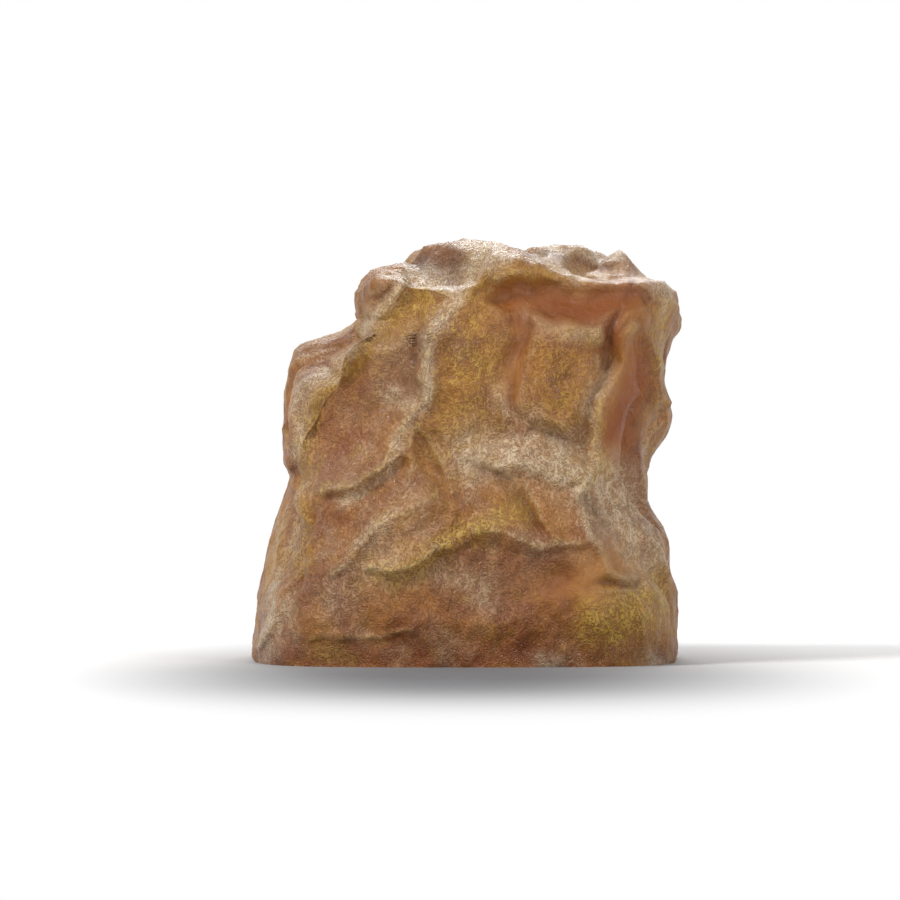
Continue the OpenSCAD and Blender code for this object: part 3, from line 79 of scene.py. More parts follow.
# Ridges and cracks: [lift, width left of the run, width right of it, shape, [[x, z], ...]]. The flanks
# have [y, z] and the top has [x, y].
FRONT_STROKES = [
    [9, 26, 12, 0.8, [[11, 294], [7, 281], [0, 263], [-13, 249], [-22, 237], [-26, 219], [-29, 199],
        [-31, 185]]],
    [8, 12, 22, 0.8, [[-28, 217], [-29, 199], [-36, 181], [-44, 162], [-58, 146], [-77, 131], [-96,
        123]]],
    [8, 16, 12, 0.8, [[-43, 273], [-52, 256], [-63, 240], [-79, 226], [-95, 214], [-111, 199], [-120,
        181], [-123, 160], [-124, 135]]],
    [-13, 40, 34, 2, [[-43, 214], [-70, 178], [-111, 139]]],
    [-3, 6, 6, 1, [[-68, 167], [-80, 160], [-95, 149]]],
    [-6, 22, 22, 2, [[-38, 264], [-55, 230], [-73, 203]]],
    [4, 8, 8, 1, [[-54, 196], [-38, 189]]],
    [-7, 11, 11, 1, [[-28, 240], [-36, 217], [-47, 196]]],
    [-10, 17, 17, 2, [[-36, 281], [-16, 280], [4, 284]]],
    [4, 8, 8, 1, [[-40, 279], [-31, 264], [-11, 260], [2, 267]]],
    [5, 14, 14, 2, [[-64, 283], [-71, 262]]],
    [-6, 8, 8, 1, [[-79, 243], [-68, 242], [-59, 247]]],
    [6, 11, 11, 1, [[-118, 226], [-95, 233], [-77, 239]]],
    [4, 30, 26, 2, [[7, 260], [0, 210], [-9, 164]]],
    [-4, 9, 11, 1.2, [[48, 260], [38, 237], [34, 210], [33, 180]]],
    [9, 28, 28, 5, [[66, 221], [63, 187]]],
    [6, 10, 10, 5, [[54, 239], [91, 229]]],
    [-2.5, 9, 9, 1, [[41, 166], [64, 159], [93, 151]]],
    [-10, 20, 18, 1.5, [[20, 256], [61, 260], [124, 255]]],
    [4, 7, 7, 1.5, [[1, 277], [32, 274], [65, 269]]],
    [-8, 9, 9, 1, [[42, 289], [75, 286], [102, 283]]],
    [-6, 6, 7, 0.9, [[120, 286], [115, 264], [109, 244], [102, 226], [94, 207]]],
    [8, 30, 8, 0.9, [[119, 236], [105, 206], [99, 190], [94, 170], [88, 146], [85, 127]]],
    [5, 8, 13, 1, [[139, 260], [142, 231], [138, 199], [144, 178], [132, 149]]],
    [-5, 11, 11, 1, [[128, 196], [125, 167], [122, 142]]],
    [7, 22, 9, 1, [[4, 149], [39, 139], [61, 135], [85, 134]]],
    [-5, 6, 12, 1, [[25, 136], [39, 123], [47, 105], [56, 89]]],
    [-6, 15, 13, 1.3, [[-29, 163], [-21, 144], [-16, 121]]],
    [4, 6, 6, 0.8, [[-32, 167], [-16, 146], [-11, 123]]],
    [-9, 28, 26, 1.6, [[92, 131], [110, 99], [119, 64]]],
    [6, 7, 8, 0.8, [[88, 143], [83, 128], [86, 103], [89, 87], [99, 66], [115, 64]]],
    [-4, 5, 5, 1, [[84, 122], [96, 107], [107, 91]]],
    [6, 12, 12, 0.9, [[124, 130], [132, 103], [140, 81], [145, 56]]],
    [-4, 6, 6, 1, [[93, 61], [115, 61]]],
    [4, 7, 7, 1, [[91, 55], [117, 56]]],
    [8, 9, 9, 0.8, [[-122, 132], [-124, 103], [-125, 81], [-132, 56], [-141, 31], [-149, 8]]],
    [6, 14, 12, 1, [[-9, 137], [-34, 112], [-64, 92], [-93, 64]]],
    [-8, 22, 20, 2, [[-46, 140], [-80, 112], [-111, 85]]],
    [6, 15, 9, 1, [[-73, 66], [-39, 73], [-13, 88], [14, 94], [46, 89], [82, 84]]],
    [-4, 26, 26, 2, [[-56, 53], [7, 58], [71, 60]]],
    [-4, 10, 10, 1.5, [[-19, 95], [2, 91]]],
    [2.5, 4, 3, 0.9, [[7, 281], [0, 263], [-13, 249], [-22, 237], [-26, 219], [-29, 199], [-33, 181],
        [-44, 162], [-62, 142]]],
    [2.5, 3, 4, 0.9, [[117, 232], [105, 206], [98, 186], [93, 168], [88, 146], [86, 130]]],
    [2, 4, 3, 0.9, [[2, 149], [20, 145], [39, 139], [61, 136], [84, 135]]],
    [2, 3, 3, 0.9, [[52, 240], [70, 236], [92, 229]]],
    [4, 22, 22, 2, [[86, 46], [132, 37]]],
    [4, 18, 18, 2, [[-114, 92], [-118, 42]]],
    [2.5, 5, 3, 1, [[-114, 16], [-82, 23], [-34, 25]]]]
BACK_STROKES = [
    [-9, 14, 14, 1, [[-128, 214], [-100, 190], [-112, 140], [-104, 96]]],
    [7, 14, 14, 0.9, [[-134, 110], [-112, 64], [-120, 20]]],
    [-8, 14, 14, 1.2, [[128, 236], [112, 190], [124, 150], [112, 108]]],
    [7, 12, 18, 0.9, [[132, 92], [108, 60], [116, 22]]],
    [6, 12, 12, 0.9, [[-64, 262], [-40, 254], [30, 258], [96, 250]]],
    [-7, 12, 12, 1, [[-96, 34], [-40, 28], [20, 36], [84, 28]]]]
LEFT_STROKES = [
    [12, 18, 18, 1.2, [[-104, 206], [-70, 172], [-58, 112], [-80, 60]]],
    [14, 26, 26, 2, [[46, 196], [72, 124]]],
    [10, 14, 14, 1, [[112, 214], [96, 150], [106, 70], [86, 24]]],
    [9, 14, 14, 1, [[-112, 120], [-92, 84], [-106, 30]]],
    [8, 12, 12, 1, [[12, 88], [46, 52], [36, 14]]],
    [11, 16, 16, 1.5, [[-40, 222], [-22, 190], [-44, 156]]]]
RIGHT_STROKES = [
    [12, 16, 16, 1, [[-98, 240], [-74, 190], [-86, 140], [-58, 92]]],
    [14, 28, 28, 2, [[66, 220], [44, 148]]],
    [11, 15, 15, 1, [[114, 196], [88, 132], [100, 72]]],
    [9, 14, 14, 1, [[-106, 74], [-66, 44], [-74, 12]]],
    [9, 14, 14, 1, [[26, 84], [66, 46], [44, 14]]],
    [10, 14, 14, 1.4, [[-34, 236], [-20, 200], [-46, 160]]]]
TOP_STROKES = [
    [-9, 11, 11, 1, [[-58, -62], [-32, 4], [-54, 54], [-22, 98]]],
    [-10, 13, 13, 1.2, [[14, -66], [50, -8], [22, 42], [56, 96]]],
    [-9, 12, 12, 1, [[98, -84], [80, -22], [110, 30], [90, 92]]],
    [-8, 24, 24, 2, [[66, 62], [84, 38]]],
    [-7, 18, 18, 2, [[-14, 70], [4, 50]]],
    [-11, 24, 24, 2, [[-34, -70], [2, -64]]]]
# Runs of colour over the front, brushed paint and also painted highlight and shade: [strength, half width,
# [[x, z], ...]] for each colour
# The pale runs are dry-brushed lilac and also painted highlight: they lighten ledges, shelves and hollows
# where light falls.
PALE_AND_HIGHLIGHT = [
    [0.6, 6.4, [[-43, 275], [-61, 246], [-86, 221], [-105, 209], [-118, 186], [-123, 146]]],
    [0.9, 7.1, [[-38, 279], [-7, 267]]],
    [0.4, 8.6, [[-114, 225], [-79, 237]]],
    [0.8, 4, [[11, 284], [-7, 264], [-24, 236], [-24, 214], [-29, 196], [-36, 175], [-46, 154], [-57,
        136], [-82, 118]]],
    [0.7, 5, [[-54, 193], [-39, 186]]],
    [0.9, 6.4, [[2, 297], [18, 296]]],
    [0.8, 5.7, [[16, 287], [27, 286]]],
    [0.7, 6.4, [[46, 246], [94, 230]]],
    [0.6, 7.1, [[71, 273], [104, 275]]],
    [0.9, 7.9, [[54, 293], [116, 293]]],
    [0.8, 7.1, [[97, 209], [98, 196]]],
    [0.8, 5.7, [[94, 194], [91, 179]]],
    [0.4, 3.2, [[119, 236], [105, 206], [95, 175], [86, 129]]],
    [0.8, 7.9, [[119, 266], [136, 266]]],
    [1, 15, [[10, 150], [40, 145], [72, 141]]],
    [0.5, 10, [[31, 189], [54, 159]]],
    [1, 20, [[100, 118], [117, 84]]],
    [0.9, 3.6, [[86, 139], [82, 130], [88, 89], [100, 66], [116, 66]]],
    [0.4, 17.1, [[-39, 104], [-57, 79], [-82, 61], [-89, 46]]],
    [0.5, 10.7, [[-4, 61], [8, 53]]],
    [0.7, 10.7, [[-134, 46], [-145, 7]]],
    [0.9, 3.6, [[-122, 129], [-124, 86], [-136, 50], [-148, 14]]],
    [0.9, 4.3, [[54, 4], [63, 4]]],
    [0.9, 4.3, [[131, 1], [144, 1]]]]
OCHRE = [
    [1, 5, [[119, 236], [105, 206], [95, 175], [86, 129]]],
    [0.8, 5, [[54, 241], [92, 230]]],
    [0.7, 6.4, [[-36, 264], [-54, 236], [-79, 213], [-96, 196], [-109, 175], [-116, 146]]],
    [0.6, 15.7, [[-64, 232], [-32, 254]]],
    [0.7, 10, [[11, 275], [74, 275]]],
    [0.45, 28.6, [[18, 257], [4, 207], [-7, 161]]],
    [0.9, 4.3, [[9, 284], [16, 294]]],
    [0.7, 8.6, [[141, 257], [142, 150]]],
    [0.8, 8.6, [[71, 139], [89, 139]]],
    [0.9, 5.7, [[96, 65], [114, 66]]],
    [0.7, 7.1, [[-68, 68], [-36, 69]]],
    [0.7, 7.1, [[-32, 79], [-4, 96]]],
    [0.7, 7.1, [[-18, 86], [39, 111]]],
    [1, 26, [[104, 38], [145, 50]]],
    [0.6, 6.4, [[-115, 157], [-116, 71]]],
    [0.6, 5.7, [[-109, 11], [-91, 11]]],
    [0.35, 17.9, [[57, 221], [82, 164]]]]
# The runs of the darker colour are paint washed into the cracks and also painted shade in hollows and under
# overhangs.
SHADE_AND_WASH_RUNS = [
    [0.5, 14, [[-70, 232], [-52, 226]]],
    [0.35, 18, [[60, 253], [104, 253]]],
    [1.3, 9, [[-30, 283], [-6, 284]]],
    [0.4, 10, [[-70, 275], [-69, 246]]],
    [0.7, 5.7, [[-121, 218], [-112, 207]]],
    [0.8, 7.1, [[-29, 229], [-43, 196]]],
    [0.5, 8, [[-21, 289], [-2, 284]]],
    [0.8, 6.4, [[43, 284], [100, 286]]],
    [0.6, 4, [[119, 284], [109, 243], [94, 209]]],
    [0.6, 10, [[121, 182], [121, 146]]],
    [0.8, 4.3, [[11, 146], [46, 107]]],
    [0.5, 10.7, [[-25, 150], [-26, 116]]],
    [0.8, 2.9, [[84, 121], [106, 91]]],
    [0.7, 5, [[98, 59], [114, 59]]],
    [0.6, 4.3, [[57, 157], [86, 146]]],
    [0.9, 9, [[-118, 6], [-86, 9], [-25, 10], [68, 7], [148, 5]]],
    [0.5, 10, [[-136, 129], [-141, 50]]]]
MAUVE = [
    [0.9, 18.6, [[-93, 139], [-46, 200]]],
    [0.5, 17.1, [[-14, 61], [43, 64]]]]
RED = [
    [0.9, 17, [[36, 253], [109, 253]]],
    [1, 15, [[114, 229], [113, 163]]],
    [0.2, 16, [[-20, 62], [70, 56]]],
    [0.8, 8, [[-118, 8], [148, 8]]],
    [0.7, 4.3, [[-71, 164], [-96, 149]]],
    [0.6, 12.9, [[-114, 86], [-100, 61]]],
    [0.8, 6.4, [[-15, 93], [-6, 93]]]]
BARE = [
    [1, 6.4, [[36, 239], [36, 193]]],
    [1, 17.1, [[31, 253], [109, 253]]],
    [1, 14.3, [[111, 229], [110, 163]]],
    [0.9, 15.7, [[66, 50], [96, 70]]]]

# The shell in millimetres, as in the part's source: skirt and wall, where the top starts and what it closes
# round, the lean of the grille side, and the driver's recess, pad, seat and throat on the driver's axes
SKIRT_H = 44
WALL = 6
RIM_Z = 262
TOP_MID = (36, -4)
TILT = math.radians(8)
DRIVER_H = 150
RECESS_DEPTH = 12
RECESS_R = 93.3
PAD_R = 99.3
SEAT_R = 83.3
SEAT_STEP = 7
SEAT_T = 12
THROAT_R = 73.5
SKIRT_T = 9
LEDGE_IN = 24
LINING_HEIGHTS = (SKIRT_H + 10, 70, 100, 130, 160, 190, 215, 240, 256)
BACK_DEPTH = 141
CUT_SIDES = 180
SEAT_Y = BACK_DEPTH - DRIVER_H * math.tan(TILT) - RECESS_DEPTH / math.cos(TILT)
# Depth of the stone's swell, and how far the top falls towards the grille side
LUMP = 0.7
BACK_FALL = 12
# On the driver's axes: the surround's half roll with its lips, and the spider with its waves
ROLL_MID = 63.5
ROLL_TOP_R = 6.4
ROLL_UNDER_R = 5.6
LIP_IN = 54.5
LIP_OUT = 73
LIP_LOW = -2.7
LIP_HIGH = -1.9
SPIDER_IN = 13.25
SPIDER_OUT = 41.5
SPIDER_LIP = 44
SPIDER_LOW = -41.5
SPIDER_HIGH = -40.9
SPIDER_WAVES = 5
SECTORS = 12
# The view: how far off the camera is, how high it looks from, what it looks at, and the width that it sees
CAMERA_AWAY = 6.0
CAMERA_RISE = math.radians(0.8)
CAMERA_TARGET = (-0.0107, 0, 0.150)
FRAME_WIDTH = 0.6429
# Round soft lamps: name, place, width in metres, watts
LAMPS = (("overhead", (0.1, 1.5, 1.6), 1.0, 25), ("window", (-1.4, -1.2, 1.9), 0.9, 43),
         ("fill", (1.5, -2.4, 0.8), 1.2, 27))


def linear(hex_colour):
    """sRGB hex to linear light: below 0.04045 a straight line, above it a power of 2.4."""
    parts = [int(hex_colour[i:i + 2], 16) / 255 for i in (1, 3, 5)]
    return [c / 12.92 if c <= 0.04045 else ((c + 0.055) / 1.055) ** 2.4 for c in parts]


class RockSizes(bpy.types.PropertyGroup):
    """Sizes of the rock's skin and of its paint"""
    front_columns: bpy.props.IntProperty(
        name="Front columns", description="Columns of the rock's skin on its front",
        default=300, min=60, max=400)
    back_columns: bpy.props.IntProperty(
        name="Back columns", description="Columns of the rock's skin on its grille side",
        default=190, min=40, max=300)
    row_step: bpy.props.FloatProperty(
        name="Row step", description="Height between two rows of the skin",
        default=0.0019, unit="LENGTH")
    coat: bpy.props.FloatProperty(
        name="Coat", description="How far the trowelled coat stands in and out",
        default=0.0014, unit="LENGTH")
    hair: bpy.props.FloatProperty(
        name="Brush hair", description="Width of one hair's mark in the paint",
        default=0.0012, unit="LENGTH")


class RockColours(bpy.types.PropertyGroup):
    """Colours of the rock's paint"""
    stone: bpy.props.FloatVectorProperty(
        name="Stone", description="Warm brown base coat",
        default=linear("#a3692c"), subtype="COLOR")
    shade: bpy.props.FloatVectorProperty(
        name="Shade", description="Deeper brown of the base coat",
        default=linear("#844a1e"), subtype="COLOR")
    ochre: bpy.props.FloatVectorProperty(
        name="Ochre", description="Dry-brushed mustard",
        default=linear("#b8953a"), subtype="COLOR")
    # The pale colour is also painted highlight, where the pale layer lightens surfaces lit from above.
    pale: bpy.props.FloatVectorProperty(
        name="Pale", description="Dry-brushed lilac grey on the ledges",
        default=linear("#cdb594"), subtype="COLOR")
    # The darker colour is also painted shade in hollows and on surfaces that face down, besides the paint
    # washed into the cracks.
    wash_and_shade: bpy.props.FloatVectorProperty(
        name="Dark", description="Wash in the cracks",
        default=linear("#572f16"), subtype="COLOR")
    mauve: bpy.props.FloatVectorProperty(
        name="Mauve", description="Greyed brown in the hollows",
        default=linear("#946848"), subtype="COLOR")
    red: bpy.props.FloatVectorProperty(
        name="Red", description="Reddish touches",
        default=linear("#84410f"), subtype="COLOR")


def place(value, table):
    """Straight line between the rows of a table."""
    rows = np.array(table, float)
    return np.interp(value, rows[:, 0], rows[:, 1])


def rise(v, a, b):
    """Smooth step: 3 t squared less 2 t cubed, where t runs from 0 at a to 1 at b."""
    t = np.clip((v - a) / (b - a), 0, 1)
    return t * t * (3 - 2 * t)


def wave(degrees):
    """Sine of an angle in degrees."""
    return np.sin(np.radians(degrees))


def back_y(z):
    """Depth of the grille side at height z: BACK_DEPTH less z times the tangent of TILT."""
    return BACK_DEPTH - z * math.tan(TILT)


def oval(angle, left, right, front, back):
    """Squared oval: radius is (|cos|^n + |sin|^n)^(-1/n), with n 3.4 in front and 7 behind."""
    c, s = np.cos(angle), np.sin(angle)
    n = np.where(s < 0, 3.4, 7.0)
    r = (np.abs(c) ** n + np.abs(s) ** n) ** (-1 / n)
    x = (left + right) / 2 + (right - left) / 2 * r * c
    return x, np.where(s < 0, front, back) * r * s


def front_y(z):
    """Depth of the front by height, averaged over 12 mm so that its table leaves no level creases."""
    return (place(z - 6, FRONT_DEPTH) + 2 * place(z, FRONT_DEPTH) + place(z + 6, FRONT_DEPTH)) / 4


def section(angle, z, inset):
    """Level cut of the plain rock at height z, set in by inset."""
    return oval(angle, place(z, LEFT_EDGE) + inset, place(z, RIGHT_EDGE) - inset,
                front_y(z) - inset, back_y(z) - inset)


def column_angles(front, back):
    """Angles round the rock, closer together in the middle of its front and back."""
    u = np.concatenate([np.arange(front) / front, np.arange(back) / back]) * 2 - 1
    turn = np.where(np.arange(front + back) < front, 270, 450)
    return np.radians(turn + 90 * u * (0.8 + 0.2 * np.abs(u)))


def taper(s):
    """Share of a stroke's width along it: 0.35 at both ends and 1 in the middle."""
    return 0.35 + 0.65 * (1 - np.abs(2 * s - 1) ** 3)


def run_share(x, z, a, b, wide_left, wide_right, shape, start, end):
    """1 on the straight run from a to b, falling to 0 at its width on either side: a shape of 1 is a
    straight slope, above 1 a rounded back and below 1 a sharp crest. Below 3 it narrows as taper says, and
    from 1 to 3 it also sinks to 0.3 + 0.7 times the taper."""
    ab = np.subtract(b, a)
    ax, az = x - a[0], z - a[1]
    t = np.clip((ax * ab[0] + az * ab[1]) / (ab @ ab), 0, 1)
    away = np.hypot(ax - t * ab[0], az - t * ab[1])
    side = (ab[0] * az - ab[1] * ax) / (np.hypot(*ab) * np.maximum(away, 1e-9))
    width = (wide_left + wide_right) / 2 + (wide_left - wide_right) / 2 * side
    narrow = taper(start + (end - start) * t)
    if shape < 3:
        width = width * narrow
    full = 0.3 + 0.7 * narrow if 1 <= shape < 3 else 1.0
    t = np.clip(1 - away / width, 0, 1)
    return full * (1 - (1 - t) ** shape if shape >= 1 else t ** (1 / shape))


def warped(x, z):
    """Shifts a place by up to 4 mm along slow sines, so that no stroke has a ruled edge."""
    return (x + 3 * wave(5.3 * z + 2.1 * x + 40) + 0.75 * wave(11.7 * z - 7.3 * x),
            z + 3 * wave(4.7 * x - 2.9 * z + 110) + 0.75 * wave(12.9 * x + 6.1 * z))


def strokes_at(strokes, x, z):
    """Highest ridge plus deepest crack at x, z: a stroke is its lift times the share of its nearest run."""
    x, z = warped(x, z)
    high, low = np.zeros_like(x), np.zeros_like(x)
    for lift, wide_left, wide_right, shape, points in strokes:
        reach = max(wide_left, wide_right)
        box = np.array(points)
        near = ((x > box[:, 0].min() - reach) & (x < box[:, 0].max() + reach)
                & (z > box[:, 1].min() - reach) & (z < box[:, 1].max() + reach))
        if near.any():
            runs = len(points) - 1
            shares = [run_share(x[near], z[near], points[i], points[i + 1], wide_left, wide_right, shape,
                                i / runs, (i + 1) / runs) for i in range(runs)]
            value = lift * np.max(shares, axis=0)
            high[near] = np.maximum(high[near], value)
            low[near] = np.minimum(low[near], value)
    return high + low


def lumps(x, y, z):
    """Products of slow sines, in degrees a millimetre, for the stone's low swell."""
    return LUMP * (wave(9.7 * x + 3.1 * z) * wave(8.3 * z - 4.1 * x + 5 * y)
                   + 0.7 * wave(17 * x - 6 * z + 11 * y) * wave(14 * z + 9 * y))


def carved(x, y, z):
    """The plain rock moved in or out by the relief of the face that each point lies on."""
    left, right = place(z, LEFT_EDGE), place(z, RIGHT_EDGE)
    across = (x - (left + right) / 2) / ((right - left) / 2)
    front = np.clip(-1.8 * y / place(z, FRONT_DEPTH), 0, 1)
    back = np.clip(1.8 * y / back_y(z), 0, 1)
    bump = lumps(x, y, z)
    clear = rise(np.hypot(x, z - DRIVER_H), RECESS_R + 6, RECESS_R + 22)
    dy = np.where(front > 0, -front * (strokes_at(FRONT_STROKES, x, z) + bump),
                  back * clear * (strokes_at(BACK_STROKES, x, z) + bump))
    slope = 0.35 * y
    left_cut = strokes_at(LEFT_STROKES, y, z) + np.maximum(0, place(z - slope, LEFT_EDGE) - left)
    right_cut = strokes_at(RIGHT_STROKES, y, z) + np.maximum(0, right - place(z + slope, RIGHT_EDGE))
    hold = 0.35 + 0.65 * rise(z, SKIRT_H - 8, SKIRT_H + 20)
    cut = (rise(np.abs(across), 0.7, 0.95) * rise(np.abs(y), 4, 34)
           * (np.where(across < 0, left_cut, right_cut) + np.abs(bump)) * hold)
    return x - np.sign(across) * cut, y + dy, z


def top_of(angle, s, share):
    """The closing top: s is 1 at the rim and 0 in the middle, share is how much of the rise is reached. Its
    height runs from the front rim's to the skyline's by y, with the top's strokes, and falls at the back."""
    x, y = section(angle, RIM_Z, 0)
    x = TOP_MID[0] + (x - TOP_MID[0]) * s
    y = TOP_MID[1] + (y - TOP_MID[1]) * s
    blend = rise(y, -38, 12)
    height = place(x, FRONT_RIM) * (1 - blend) + place(x, SKYLINE) * blend
    height = height + strokes_at(TOP_STROKES, x, y) - BACK_FALL * rise(y, 40, 108)
    return x, y, RIM_Z + (height - RIM_Z) * share


def hills(points, size, seed):
    """Smooth random hills about `size` millimetres across: each corner of a cubic grid has a random
    slope, and a point takes the eased mix of its eight corners' slopes. Runs from -1 to 1."""
    slopes = np.random.default_rng(seed).normal(size=(4096, 3))
    slopes /= np.linalg.norm(slopes, axis=1)[:, None]
    p = points / size
    cell = np.floor(p).astype(np.int64)
    f = p - cell
    ease = f * f * f * (f * (f * 6 - 15) + 10)
    total = np.zeros(len(p))
    for corner in np.ndindex(2, 2, 2):
        c = cell + corner
        at = ((c[:, 0] * 73856093) ^ (c[:, 1] * 19349663) ^ (c[:, 2] * 83492791)) & 4095
        weight = np.prod(np.where(corner, ease, 1 - ease), axis=1)
        total += weight * np.einsum("ij,ij->i", slopes[at], f - corner)
    return total * 1.6


def grid_quads(rows, columns, start, flip):
    """Corners of the quads between neighbouring rings of a closed grid."""
    r, c = np.meshgrid(np.arange(rows - 1), np.arange(columns), indexing="ij")
    a = start + r * columns + c
    b = start + r * columns + (c + 1) % columns
    quads = np.stack([a, b, b + columns, a + columns], axis=-1).reshape(-1, 4)
    return quads[:, ::-1] if flip else quads


def new_piece(name, points, faces, smooth=True):
    """A mesh object at the origin from points in millimetres."""
    mesh = bpy.data.meshes.new(name)
    mesh.from_pydata((np.asarray(points) / 1000).tolist(), [], faces)
    mesh.polygons.foreach_set("use_smooth", [smooth] * len(mesh.polygons))
    mesh.update()
    piece = bpy.data.objects.new(name, mesh)
    bpy.context.scene.collection.objects.link(piece)
    return piece


def from_driver(points):
    """From the driver's own axes, whose z runs out of the grille side, to the part's."""
    x, y, z = np.asarray(points, float).T
    return np.stack([x, SEAT_Y + y * math.sin(TILT) + z * math.cos(TILT),
                     DRIVER_H - y * math.cos(TILT) + z * math.sin(TILT)], axis=-1)


def rod(name, radius, low, high, count):
    """A closed rod on the driver's axes: count points on a circle, at two heights."""
    a = np.arange(count) * 2 * math.pi / count
    ring = np.stack([radius * np.cos(a), radius * np.sin(a)], axis=-1)
    points = np.concatenate([np.c_[ring, np.full(count, low)], np.c_[ring, np.full(count, high)]])
    faces = [list(range(count))[::-1], list(range(count, 2 * count))]
    faces += [[i, (i + 1) % count, count + (i + 1) % count, count + i] for i in range(count)]
    return new_piece(name, from_driver(points), faces, smooth=False)


def combine(piece, other, how):
    """Boolean of two closed meshes, with its result kept and the tool removed."""
    step = piece.modifiers.new(how, "BOOLEAN")
    step.operation = how
    step.solver = "MANIFOLD"
    step.object = other
    shape = bpy.data.meshes.new_from_object(piece.evaluated_get(bpy.context.evaluated_depsgraph_get()))
    piece.modifiers.clear()
    if len(shape.polygons) < 100:
        raise RuntimeError(f"the {how.lower()} of {piece.name} left nothing")
    piece.data = shape
    bpy.data.objects.remove(other)


def copy_of(node, name):
    """A copy of a CAD piece's mesh with its loose triangles joined."""
    mesh = frame["nodes"][node].data.copy()
    shape = bmesh.new()
    shape.from_mesh(mesh)
    bmesh.ops.remove_doubles(shape, verts=shape.verts, dist=1e-6)
    shape.to_mesh(mesh)
    shape.free()
    mesh.materials.clear()
    piece = bpy.data.objects.new(name, mesh)
    bpy.context.scene.collection.objects.link(piece)
    return piece


def rock_points(sizes):
    """The rock's outer grid, row by row from the ground to the top, and its pole. The top's rows keep
    s^6 + share^6 = 1, so they turn over the rim without a fold."""
    angle = column_angles(sizes.front_columns, sizes.back_columns)
    heights = np.append(np.arange(0, RIM_Z - 1, sizes.row_step * 1000), RIM_Z)
    a, z = np.meshgrid(angle, heights)
    x, y = section(a, z, 0)
    share = np.arange(0.07, 0.87, 0.07)
    s = np.concatenate([(1 - share ** 6) ** (1 / 6), np.arange(0.9, 0.02, -0.03)])
    share = (1 - s ** 6) ** (1 / 6)
    at, ring = np.meshgrid(angle, s)
    tx, ty, tz = top_of(at, ring, np.broadcast_to(share[:, None], at.shape))
    whole = [np.concatenate([side.ravel(), top.ravel()]) for side, top in ((x, tx), (y, ty), (z, tz))]
    grid = np.stack(carved(*whole), axis=-1)
    pole = np.stack(top_of(np.zeros(1), np.zeros(1), np.ones(1)), axis=-1)
    return grid.reshape(len(heights) + len(s), len(angle), 3), pole


def surface_normals(grid):
    """Unit normals of a closed grid: the cross product of its steps round and up."""
    round_step = np.roll(grid, -1, axis=1) - np.roll(grid, 1, axis=1)
    up_step = np.gradient(grid, axis=0)
    n = np.cross(round_step, up_step)
    return n / np.maximum(np.linalg.norm(n, axis=2, keepdims=True), 1e-9)


def coat_height(points):
    """The trowelled coat: hills of 30, 14 and 6 mm, and creases where a 19 mm pattern changes sign. The
    smaller ones are drawn out upwards, as the brush left them."""
    drawn = points * [1, 1, 0.5]
    crease = 1 - np.minimum(1, np.abs(hills(drawn, 19, 4)) * 3)
    return (1.3 * hills(points, 30, 1) + 0.9 * hills(drawn, 14, 2) + 0.45 * hills(drawn, 6, 3)
            + 0.7 * crease ** 2)


def painted(runs, x, z):
    """Strength of a colour at x, z: full on a run, fading beside it as a bell curve of the run's width."""
    best = np.zeros_like(x)
    x, z = warped(x, z)
    for strength, width, points in runs:
        for a, b in zip(points, points[1:]):
            ab = np.subtract(b, a)
            t = np.clip(((x - a[0]) * ab[0] + (z - a[1]) * ab[1]) / (ab @ ab), 0, 1)
            away = np.hypot(x - a[0] - t * ab[0], z - a[1] - t * ab[1])
            best = np.maximum(best, strength * np.exp(-(away / (1.15 * width + 1)) ** 2))
    return best


def build_rock(sizes):
    """Wall, top, skirt and inner face of the rock as one closed skin. The coat lifts each point along its
    normal, less where the front was left smooth, and not on the driver's pad or at the ground."""
    grid, pole = rock_points(sizes)
    rows, columns = grid.shape[:2]
    flat = grid.reshape(-1, 3)
    x, y, z = flat.T
    smooth = painted(BARE, x, z) * (y < -40)
    seat = np.hypot(x, z - DRIVER_H)
    lift = coat_height(flat) * (1 - 0.85 * smooth) * sizes.coat * 1000
    lift *= np.where(y > 0, rise(seat, PAD_R, PAD_R + 14), 1) * rise(z, 0, 3)
    outside = (grid + surface_normals(grid) * lift.reshape(rows, columns, 1)).reshape(-1, 3)
    outside[:, 2] = np.maximum(outside[:, 2], 0)
    angle = column_angles(sizes.front_columns, sizes.back_columns)
    left, right = place(SKIRT_H, LEFT_EDGE), place(SKIRT_H, RIGHT_EDGE)
    front, back = place(0, FRONT_DEPTH), back_y(SKIRT_H)
    rings = []
    for inset, height in ((SKIRT_T, 0), (SKIRT_T, SKIRT_H), (LEDGE_IN, SKIRT_H), (LEDGE_IN, SKIRT_H + 10)):
        sx, sy = oval(angle, left + inset, right - inset, front - inset, back - inset)
        rings.append(np.c_[sx, sy, np.full(columns, height)])
    for height in LINING_HEIGHTS:
        sx, sy = section(angle, height, 20 if height < 250 else 22)
        rings.append(np.c_[sx, sy, np.full(columns, height)])
    points = np.concatenate([outside, pole, *rings, [[*TOP_MID, RIM_Z]]])
    tip, first = rows * columns, rows * columns + 1
    last = first + (len(rings) - 1) * columns
    i = np.arange(columns)
    j = (i + 1) % columns
    walls = [grid_quads(rows, columns, 0, False), grid_quads(len(rings), columns, first, True),
             np.stack([j, i, first + i, first + j], axis=-1)]
    caps = [np.stack([(rows - 1) * columns + i, (rows - 1) * columns + j, np.full(columns, tip)], axis=-1),
            np.stack([last + j, last + i, np.full(columns, last + columns)], axis=-1)]
    return new_piece("rock_skin", points, [*np.concatenate(walls).tolist(), *np.concatenate(caps).tolist()])


def proud(strokes, u, v, reach):
    """How far the strokes at u, v stand above their mean at eight places `reach` millimetres around it."""
    turns = np.arange(8) * math.pi / 4
    around = [strokes_at(strokes, u + reach * math.cos(t), v + reach * math.sin(t)) for t in turns]
    return strokes_at(strokes, u, v) - np.mean(around, axis=0)


